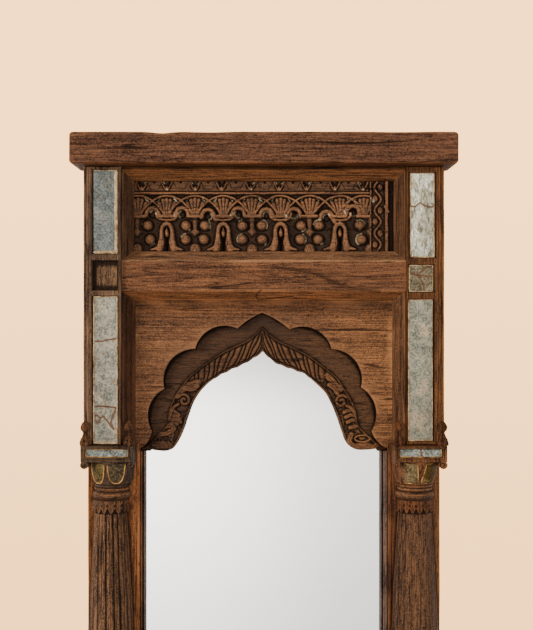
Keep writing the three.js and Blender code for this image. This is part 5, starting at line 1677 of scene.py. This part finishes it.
def carveBand(sheet):
    f = frieze
    end, middle = f["stripLow"] - 3, (f["bandLow"] + f["railLow"]) / 2
    band = (sheet.z > f["bandLow"]) & (sheet.x < end)
    sheet.height[band] = 39.4 + 1.2 * rough(sheet.x[band], 0, sheet.z[band], (14, 1, 5), 313, 2)
    sheet.ridge([(f["left"], middle), (end, middle)], 3.3, 43.2)
    sheet.groove([(f["left"], f["bandLow"] + 1.2), (end, f["bandLow"] + 1.2)], 1.0, 2.4)
    for x in f["buds"]:
        sheet.pit(x, 853, 10.5, 8.5, 35.5, 0.5)
        for sign in (-1, 1):
            sheet.ridge([(x + sign * 12, 863), (x + sign * 7.5, 853), (x + sign * 1.5, 843)], 2.0, 42.8)
        sheet.dome(x, 848.5, 3.6, 6.0, 42.0, 1.5)
        for sign in (-1, 1):
            sheet.pit(x + sign * 6, 861.5, 3.4, 2.6, 34.5, 0.6)
    for x in [(a + b) / 2 for a, b in zip(f["buds"], f["buds"][1:])]:
        sheet.groove([(x - 17, 861.5), (x - 9, 846), (x + 9, 846), (x + 17, 861.5)], 0.9, 1.3)
        sheet.pit(x, 862, 3.0, 2.2, 35.5, 0.6)


def carveStrip(sheet):
    f = frieze
    low, high = f["stripLow"], f["stripHigh"]
    strip = (sheet.x > low) & (sheet.x < high)
    sheet.height[strip] = 37.0
    sheet.ridge([(low + 1.5, f["foot"]), (low + 1.5, 864)], 2.2, 42.4)
    sheet.ridge([(high + 6, f["foot"]), (high + 6, 864)], 3.9, 44.4, 0.5)
    middle, wave = low + 18, f["vineWave"]
    heights = np.linspace(704, 862, 70)
    bends = middle + 7.5 * np.sin((heights - 704) / wave * 2 * math.pi)
    sheet.ridge(list(zip(bends, heights)), 2.7, 43.8)
    for k in range(6):  # a leaf in each bend of the vine
        z, way = 704 + wave * (k / 2 + 0.25), 1 if k % 2 else -1
        sheet.dome(middle + way * 6.0, z, 6.4, 8.4, 44.6, 1.2)
        sheet.groove([(middle + way * 9.5, z + 5.5), (middle + way * 4.0, z - 4.5)], 0.9, 1.8)
        sheet.pit(middle + way * 2.5, z - 10.5, 2.6, 2.2, 37.5, 0.6)
    sheet.height[sheet.x > high + 12] = 28.0


def makeFrieze():
    f = frieze
    x, depth, z = span("frieze_panel")

    def front(gx, gz):
        wx = gx + f["wobble"] * rough(gx, 0, gz, (16, 1, 16), 301, 2)
        wz = gz + f["wobble"] * rough(gx, 0, gz, (16, 1, 16), 303, 2)
        sheet = Relief(wx, wz, f["ground"])
        sheet.height -= 2.2 * uneven(gx, gz, (9, 9), 305, 2)
        for group in f["beads"]:
            carveBeads(sheet, group)
        for middle in f["hoods"]:
            carveHood(sheet, middle)
        for middle in f["fans"]:
            carveFan(sheet, middle)
        for n, (holeX, holeZ) in enumerate(f["holes"]):
            carveRibbon(sheet, holeX, holeZ, -1 if n % 2 else 1)
        for n, middle in enumerate(f["fans"]):
            carveSaucer(sheet, middle, n % 2 == 1)
        carveBand(sheet)
        carveStrip(sheet)
        tool = 0.45 * rough(gx, 0, gz, (4, 1, 4), 307, 2) + 0.15 * rough(gx, 0, gz, (28, 1, 3), 309, 2)
        return np.clip(sheet.height + tool - 0.3, depth[0] + 12, depth[1])

    mesh = slab("friezePanel", x, z, (f["step"], f["step"]), front, depth[0], [], [], 0.0,
                311, wallSteps=2, edge=0.4)
    spots = spotsOf(mesh)
    # Painted shade: the deeper a point lies the darker it is. Raised tops are lightened as painted light and
    # the lowest parts are blackened as painted shade.
    store(mesh, "soot", unit((44.4 + spots[:, 1]) / 9.0) * 0.97)
    tintMesh(mesh, [(unit((-spots[:, 1] - 40) / 3.0), f["highTint"]),
                    (unit((39.5 + spots[:, 1]) / 4.0) * 0.45, black)])
    daubs = Relief(spots[:, 0], spots[:, 2], 0)
    daubFrieze(daubs)
    store(mesh, "paint", np.where(spots[:, 1] < -f["pitFloor"] + 3, daubs.paint, 0))
    place(mesh, "carved", "frieze_panel")


# Arch panel: lines run from the left foot over the point to the right foot, as shares of the half
# width of the sight and of the rise from the feet
arch = {
    "half": 272.0, "pointMargin": 29.0, "floor": 24.0, "rim": 38.0, "columns": 820, "pole": -60.0,
    "gadroon": 30.0, "slant": 0.8, "leafyBelow": 404.0, "rimGround": 33.0, "rimTop": 37.7, "scoopTop": 31.5,
    "scoopDepth": 7.5, "cutFloor": 24.5, "shadeFrom": 545.0, "shadeOver": 30.0, "litAt": 240.0,
    "litTint": (1.34, 1.28, 1.12), "highTint": (0.64, 0.58, 0.52), "feet": (0.966, 1.0, 1.05),
}
cusps = {
    "left": [(-0.016, 1), (-0.223, 0.886), (-0.582, 0.74), (-0.844, 0.452), (-0.951, 0.149), (-1.05, 0.025)],
    "right": [(-0.016, 1), (0.219, 0.879), (0.574, 0.737), (0.824, 0.461), (0.915, 0.152), (1.05, 0.025)],
}
lobeBulges = [0.05, 0.24, 0.25, 0.22, -0.12]
rimOuter = {
    "left": [(-0.016, 0.9), (-0.12, 0.814), (-0.276, 0.749), (-0.419, 0.682), (-0.561, 0.593),
             (-0.653, 0.527), (-0.718, 0.45), (-0.77, 0.384), (-0.809, 0.285), (-0.823, 0.196),
             (-0.9, 0.125), (-1.0, 0.03)],
    "right": [(-0.016, 0.9), (0.1, 0.814), (0.262, 0.749), (0.4, 0.682), (0.54, 0.593), (0.63, 0.527),
              (0.69, 0.45), (0.74, 0.384), (0.785, 0.285), (0.8, 0.196), (0.88, 0.125), (1.0, 0.03)],
}
rimInner = {
    "left": [(-0.009, 0.715), (-0.054, 0.687), (-0.171, 0.627), (-0.301, 0.577), (-0.471, 0.49),
             (-0.536, 0.433), (-0.601, 0.35), (-0.646, 0.252), (-0.685, 0.152), (-0.725, 0.075),
             (-0.77, 0.02), (-0.823, 0.001), (-0.9, 0.003), (-0.965, 0.011)],
    "right": [(-0.009, 0.715), (0.096, 0.637), (0.226, 0.593), (0.356, 0.549), (0.447, 0.483), (0.525, 0.417),
              (0.577, 0.34), (0.63, 0.23), (0.675, 0.119), (0.706, 0.053), (0.773, 0.014), (0.876, 0.009),
              (0.961, 0.017)],
}
foliage = {
    "halves": {"leafA": 8.4, "leafB": 6.0, "curl": 6.6, "tail": 5.6, "stem": 4.2},
    "left": {
        "leafA": [(-200.9, 366.1), (-187.8, 381.6), (-171.6, 391.2), (-153.0, 397.0)],
        "leafB": [(-183.2, 383.9), (-166.9, 381.6), (-154.5, 388.5)],
        "finger1": [(-218.7, 334.4), (-208.7, 330.5), (-197.1, 321.2)],
        "finger2": [(-221.8, 323.6), (-209.5, 320.5), (-195.5, 312.7)],
        "finger3": [(-220.7, 312.7), (-208.3, 310.4), (-193.2, 305.0)],
        "finger4": [(-215.6, 302.7), (-201.7, 300.0)],
        "curl": [(-253.6, 278.7), (-237.3, 277.1), (-219.5, 282.6), (-208.7, 291.1), (-215.6, 296.5),
                 (-228.0, 294.9)],
        "stem": [(-198.6, 347.1), (-209.5, 339.0), (-216.4, 328.2), (-221.1, 311.2)],
    },
    "right": {
        "leafA": [(147.9, 412.5), (158.8, 400.9), (168.8, 390.1), (178.1, 382.3)],
        "leafB": [(151.8, 391.6), (163.4, 383.9), (171.2, 372.3)],
        "finger1": [(186.6, 328.2), (199.0, 332.8), (212.2, 329.7)],
        "finger2": [(190.5, 316.6), (205.2, 322.0), (218.3, 315.8)],
        "finger3": [(194.4, 305.0), (209.4, 310.4), (223.8, 304.2)],
        "finger4": [(200.5, 292.6), (217.6, 296.5)],
        "curl": [(203.6, 276.4), (199.0, 260.1), (211.4, 247.7), (231.5, 243.1), (254.7, 247.0),
                 (270.2, 257.0)],
        "stem": [(192.0, 343.7), (203.6, 337.5), (213.7, 322.0), (219.9, 302.7)],
        "tail": [(268.6, 257.8), (281.0, 250.8), (286.4, 239.2)],
    },
    "spirals": [(-185.1, 356.0, 14.7, 1.25, 2.4, -1), (180.4, 353.0, 15.5, 1.25, 0.7, 1)],
    "eye": (228.8, 267.1), "footLumps": [(-236.0, 251.0, 26.0, 11.0), (232.0, 250.0, 26.0, 9.0)],
}


def flowing(points, steps=12):  # a smooth line through the points, softer where they stand far apart
    points = np.array(points, float)
    gaps = np.linalg.norm(np.diff(points, axis=0), axis=1)
    slopes = np.diff(points, axis=0) / gaps[:, None]
    tangents = np.concatenate([slopes[:1], (slopes[1:] * gaps[:-1, None] + slopes[:-1] * gaps[1:, None])
                               / (gaps[:-1] + gaps[1:])[:, None], slopes[-1:]])
    run = []
    for k, gap in enumerate(gaps):
        for t in np.linspace(0, 1, steps, endpoint=False):
            a, b = 2 * t ** 3 - 3 * t ** 2 + 1, t ** 3 - 2 * t ** 2 + t
            c, d = -2 * t ** 3 + 3 * t ** 2, t ** 3 - t ** 2
            run.append(a * points[k] + b * gap * tangents[k] + c * points[k + 1] + d * gap * tangents[k + 1])
    return np.array(run + [points[-1]])


def lobe(start, end, bulge, steps=24):  # part of a circle over the chord
    start, end = np.array(start, float), np.array(end, float)
    chord = end - start
    across = np.array([-chord[1], chord[0]])
    if abs(bulge) < 0.01:
        return [start + chord * t for t in np.linspace(0, 1, steps, endpoint=False)]
    half = 2 * math.atan(2 * abs(bulge))
    run = []
    for t in np.linspace(-1, 1, steps, endpoint=False):
        along = 0.5 + 0.5 * math.sin(half * t) / math.sin(half)
        rise = (math.cos(half * t) - math.cos(half)) / (2 * math.sin(half)) * math.copysign(1, bulge)
        run.append(start + chord * along + across * rise)
    return run


class ArchLines:
    def __init__(self, foot, top):
        self.foot, self.rise = foot, top - arch["pointMargin"] - foot
        self.pole = foot + arch["pole"]
        self.inner = self.across(lambda side: flowing(self.spots(rimInner[side])))
        self.outer = self.across(lambda side: flowing(self.spots(rimOuter[side])))
        self.cusp = self.across(self.cuspRun)
        self.corners = [self.angle(np.array(self.spots(cusps[side]))) for side in ("left", "right")]

    def spots(self, shares):
        return [(a * arch["half"], self.foot + b * self.rise) for a, b in shares]

    def angle(self, points):
        return np.arctan2(points[:, 1] - self.pole, -points[:, 0])

    def across(self, line):
        return np.concatenate([line("left")[::-1], line("right")[1:]])

    def cuspRun(self, side):
        corners = self.spots(cusps[side])
        sign = -1 if side == "left" else 1
        run = []
        for k, bulge in enumerate(lobeBulges):
            run += lobe(corners[k], corners[k + 1], sign * bulge)
        return np.array(run + [np.array(corners[-1])])

    def at(self, line, angles):  # where rays from the pole meet the line
        own = np.maximum.accumulate(self.angle(line))
        return np.stack([np.interp(angles, own, line[:, 0]), np.interp(angles, own, line[:, 1])], 1)


def rimHeight(x, z, along, across, width):
    up = unit((z - arch["leafyBelow"]) / 12 + 0.5) * unit((np.abs(along) - 3) / 3)
    phase = np.abs(along) + arch["slant"] * across * width + 4.5 * np.sin(across * math.pi)
    phase = (phase / arch["gadroon"] + 0.17 * rough(along, 0, across, (30, 1, 1), 331, 2)) % 1
    ends = unit((across - 0.1) / 0.1) * unit((0.93 - across) / 0.12)
    bend = 0.3 + 0.7 * unit(across * (1 - across) * 4) ** 0.5
    broad = unit(1 - ((phase - 0.3) / 0.27) ** 2) ** 0.6 * 6.2
    lens = unit(1 - ((phase - 0.8) / (0.19 * bend)) ** 2) ** 0.6 * 4.4
    height = arch["rimGround"] - 1.6 * up + up * np.maximum(broad, lens) * ends
    leafy = unit((arch["leafyBelow"] - z) / 12 + 0.5)  # small tangled leaves between the large ones
    tangle = unit(1 - np.abs(rough(x, 0, z, (12, 1, 12), 333, 2)) / 0.2)
    height = height + leafy * (3.2 * tangle - 0.8) * unit((across - 0.08) / 0.08)
    edges = 5.0 * np.exp(-((across - 0.96) / 0.045) ** 4) + 4.2 * np.exp(-((across - 0.05) / 0.055) ** 4)
    return height + np.minimum(edges, np.maximum(arch["rimTop"] - height, 0))


def archAngles(lines):  # the angles of the board's columns, closer where its edges bend, and its corners
    turns = lines.angle(lines.cusp)
    dense = np.linspace(turns[0], turns[-1], 24001)
    steps = [np.linalg.norm(np.diff(lines.at(v, dense), axis=0), axis=1) for v in (lines.inner, lines.cusp)]
    travelled = np.concatenate([[0], np.cumsum(np.maximum(*steps))])
    angles = np.interp(np.linspace(0, travelled[-1], arch["columns"]), travelled, dense)
    corners = np.unique(np.concatenate(lines.corners))[1:-1]
    for corner in corners:
        angles[np.argmin(np.abs(angles - corner))] = corner
    return angles, corners


def boardEdge(lines, angles, x, z, footSide, jambTop):  # the board's own outline, notched over the jambs
    left = [(footSide, z[0] + 8.5), (footSide, jambTop), (x[0], jambTop + 0.05), (x[0], z[1])]
    right = [(x[1], z[1]), (x[1], jambTop + 0.05), (-footSide, jambTop), (-footSide, z[0] + 8.5)]
    board = lines.at(np.array(left + right), angles)
    for end in x:
        corner = np.arctan2(z[1] - lines.pole, -end)
        board[np.argmin(np.abs(angles - corner))] = (end, z[1])
    return board


def withFeet(lines, runs, footSide, low):  # each foot goes on down to its flat end
    for k, sign in enumerate((-1, 1)):
        spots = [np.array(v) for v in lines.spots([(sign * share, 0.0) for share in arch["feet"]])]
        spots.append(np.array([-sign * footSide, low]))
        grown = []
        for line, spot in zip(runs, spots):
            tip = line[-k]
            extra = [tip + (spot - tip) * t for t in ((1, 0.66, 0.33) if k == 0 else (0.33, 0.66, 1))]
            grown.append(np.concatenate([extra, line] if k == 0 else [line, extra]))
        runs = grown
    return runs


def makeArch():
    x, depth, z = span("arch_panel")
    jambX, _, jambZ = span("jamb_left")
    footSide, jambTop = jambX[1] - 0.3, jambZ[1] + 0.3
    lines = ArchLines(z[0], z[1])
    angles, corners = archAngles(lines)
    runs = [lines.at(v, angles) for v in (lines.inner, lines.outer, lines.cusp)]
    runs.append(boardEdge(lines, angles, x, z, footSide, jambTop))
    inner, outer, cusp, board = withFeet(lines, runs, footSide, z[0])
    nearAngles = np.concatenate([[angles[0]] * 3, angles, [angles[-1]] * 3])
    middle = (inner + outer) / 2
    along = np.concatenate([[0], np.cumsum(np.linalg.norm(np.diff(middle, axis=0), axis=1))])
    along -= along[np.argmax(middle[:, 1])]
    width = np.linalg.norm(outer - inner, axis=1)
    scallop = 0.9 * np.cos(np.abs(along) / arch["gadroon"] * 2 * math.pi) * (inner[:, 1] > arch["leafyBelow"])
    inner = inner + (outer - inner) / width[:, None] * (0.8 + scallop)[:, None]

    rows, soot, paintedShadow = [], [], []

    # Each row: its points, its depth, its painted shade (dark) and its painted shadow (shadow).
    def add(points, out, dark, shadow=0.0):
        rows.append(np.stack([points[:, 0], -np.broadcast_to(out, len(points)), points[:, 1]], 1))
        soot.append(dark + np.zeros(len(points)))
        paintedShadow.append(shadow + np.zeros(len(points)))

    across = np.linspace(0, 1, 38)[:, None]
    px = inner[:, 0] + (outer - inner)[:, 0] * across
    pz = inner[:, 1] + (outer - inner)[:, 1] * across
    sheet = Relief(px, pz, 0)
    sheet.height = rimHeight(px, pz, along + 0 * across, across + 0 * px, width)
    carveFoliage(sheet)
    sheet.height += 0.4 * rough(px, 0, pz, (5, 1, 5), 335, 2)
    rim = np.clip(sheet.height, arch["floor"] + 4, arch["rim"] + 0.2)
    rim[0] -= 1.2
    # The cut edge's wall, in painted shade and shadow.
    for k in range(5):
        deep = depth[0] + (rim[0] - depth[0]) * k / 5
        wave = 0.5 * rough(inner[:, 0], deep, inner[:, 1], (14, 9, 14), 337, 2)
        add(inner + wave[:, None] * (outer - inner) / width[:, None], deep, 0.8, 0.6)
    # The rim: painted shade the lower it lies, and painted shadow along both its edges.
    for k in range(len(rim)):
        lip = 0.35 * hump(across[k, 0], 0.97, 0.05) + 0.6 * hump(across[k, 0], 0, 0.05)
        add(np.stack([px[k], pz[k]], 1), rim[k], np.clip(0.36 + (37.2 - rim[k]) * 0.12, 0.3, 1), 0.2 + lip)
    for share in (0.45, 0.9):
        out = rim[-1] + (arch["scoopTop"] - 0.5 - rim[-1]) * share
        add(outer + (cusp - outer) * 0.008 * share, out, 0.75, 0.65)
    reach = np.linalg.norm(cusp - outer, axis=1)
    nearest = np.min(np.abs(nearAngles[:, None] - corners[None, :]) * reach.max() * 1.4, axis=1)
    # The scooped lobes: painted shade, and painted shadow growing towards the cusped edge.
    for share in np.linspace(0.02, 1, 20)[:-1]:
        scoop = arch["scoopTop"] - arch["scoopDepth"] * share ** 0.8
        arris = 4.2 * share ** 1.4 * np.exp(-(nearest / 8) ** 1.4)
        spot = outer + (cusp - outer) * share
        marks = 0.5 * rough(spot[:, 0], 0, spot[:, 1], (40, 1, 4), 341, 3)
        near = np.where(spot[:, 0] < 0, 0.6, 0.3) * unit((share - 0.78) / 0.22) ** 1.6
        near = near + 0.4 * math.exp(-share / 0.04) + np.where(spot[:, 0] < 0, 0.2, 0.12)
        add(spot, scoop + arris + marks, 0.8, near)
    for share in (0, 0.3, 0.6, 0.85, 0.97):
        wave = 0.35 * rough(cusp[:, 0], share * 20, cusp[:, 1], (10, 10, 10), 343, 2)
        out = arch["cutFloor"] + (depth[1] - 1.2 - arch["cutFloor"]) * share
        add(cusp + wave[:, None] * (cusp - outer) / reach[:, None], out, 0.8, 0.75 - 0.4 * share ** 4)
    for share in (0.006, 0.02, 0.05, 0.1, 0.16, 0.24, 0.32, 0.4, 0.5, 0.6, 0.7, 0.8, 0.9, 0.96, 1.0):
        spot = cusp + (board - cusp) * share
        out = depth[1] - 0.15 - 0.5 * (1 + rough(spot[:, 0], 0, spot[:, 1], (90, 1, 7), 345, 3))
        edge, dark, shadow = (math.exp(-share / over) for over in (0.012, 0.02, 0.015))
        add(spot, out - 0.9 * edge, 0.35 * dark, 0.3 * shadow)
    for share in (0.3, 0.7, 1.0):
        add(board, depth[1] - 0.6 + (depth[0] - depth[1] + 0.6) * share, 0.0)
    index = np.arange(len(rows) * len(rows[0])).reshape(len(rows), -1)
    after = np.roll(index, -1, axis=0)
    quads = np.stack([index[:, :-1], index[:, 1:], after[:, 1:], after[:, :-1]], -1).reshape(-1, 4)
    faces = quads.tolist() + [index[:, 0].tolist(), index[::-1, -1].tolist()]
    mesh = closedMesh("archPanel", rows, faces)
    store(mesh, "soot", np.concatenate(soot))
    spots = spotsOf(mesh)
    rise = unit((spots[:, 2] - arch["shadeFrom"]) / arch["shadeOver"])
    # Painted light towards the right, painted shade along the top, then the painted shadows.
    tintMesh(mesh, [(unit(spots[:, 0] / arch["litAt"]), arch["litTint"]), (rise, arch["highTint"]),
                    (np.concatenate(paintedShadow), black)])
    place(mesh, "arch", "arch_panel")


def carveFoliage(sheet):
    for side in ("left", "right"):
        for name, path in foliage[side].items():
            path = [tuple(v) for v in flowing(path, 6)]
            half = foliage["halves"].get(name, 5.2)
            sheet.groove(path, half + 1.8, 2.2)
            sheet.ridge(path, half, 37.9, 0.1)
            if half > 3.5:
                sheet.groove(path[2:-2], 0.8, 1.5)
    for spiral in foliage["spirals"]:
        sheet.spiral(*spiral, 3.7, 38.0)
    sheet.ridge(circlePoints(*foliage["eye"], 17.4, 7.7, np.linspace(0, 2 * math.pi, 30)), 2.4, 37.9)
    sheet.dome(*foliage["eye"], 9.0, 3.6, 36.5)
    for lump in foliage["footLumps"]:
        sheet.dome(*lump, 38.0)


makeFrieze()
print("frieze made")
makeArch()
print("arch panel made")


# Back: fittings, board and glass keep their own shapes and get finishes; the rings are drawn round
backNodes = {
    "board": ["back_board", "back_batten"], "felt": ["wall_bumper_left", "wall_bumper_right"],
    "mirror": ["mirror_glass"],
    "iron": [f"{name}_{side}" for side in ("left", "right") for name in (
        "hanger_plate", "hanger_screw_upper", "hanger_screw_lower", "board_clip_upper", "board_clip_lower")],
}
dRing = {"wire": 2.0, "half": 17.0, "drop": 26.0, "corner": 4.0, "sides": 20}


def makeRing(side):
    x, depth, z = span(f"ring_{side}")
    middle, back, flat = sum(x) / 2, sum(depth) / 2, z[1] - dRing["wire"]
    half, corner = dRing["half"], dRing["corner"]
    route = [(-half * math.cos(a), -corner - (dRing["drop"] - corner) * math.sin(a))
             for a in np.linspace(0, math.pi, 45)]
    for k in range(1, 9):  # the corners to the flat side
        a = math.pi / 2 * k / 8
        route.append((half - corner + corner * math.cos(a), -corner + corner * math.sin(a)))
    for k in range(0, 8):
        a = math.pi / 2 * (1 + k / 8)
        route.append((corner - half + corner * math.cos(a), -corner + corner * math.sin(a)))
    route = np.array(route)
    ahead = np.roll(route, -1, axis=0) - np.roll(route, 1, axis=0)
    ahead /= np.linalg.norm(ahead, axis=1)[:, None]
    out = np.stack([ahead[:, 1], -ahead[:, 0]], 1)
    turn = np.linspace(0, 2 * math.pi, dRing["sides"], endpoint=False)
    reach = dRing["wire"] * np.cos(turn)
    rows = np.stack([middle + route[:, :1] + out[:, :1] * reach, -back + dRing["wire"] * np.sin(turn)
                     + 0 * route[:, :1], flat + route[:, 1:] + out[:, 1:] * reach], -1)
    index = np.arange(rows[..., 0].size).reshape(rows.shape[:2])
    far, after = np.roll(index, -1, axis=0), np.roll(index, -1, axis=1)
    faces = np.stack([index, after, np.roll(far, -1, axis=1), far], -1).reshape(-1, 4).tolist()
    points = rows.reshape(-1, 3)
    mesh = closedMesh(f"ring.{side}", points, faces)
    place(mesh, "iron", f"ring_{side}", f"{side}_ring")


for finish, nodes in backNodes.items():
    for node in nodes:
        shade(node, finish)
makeRing("left")
makeRing("right")
print("back finished")
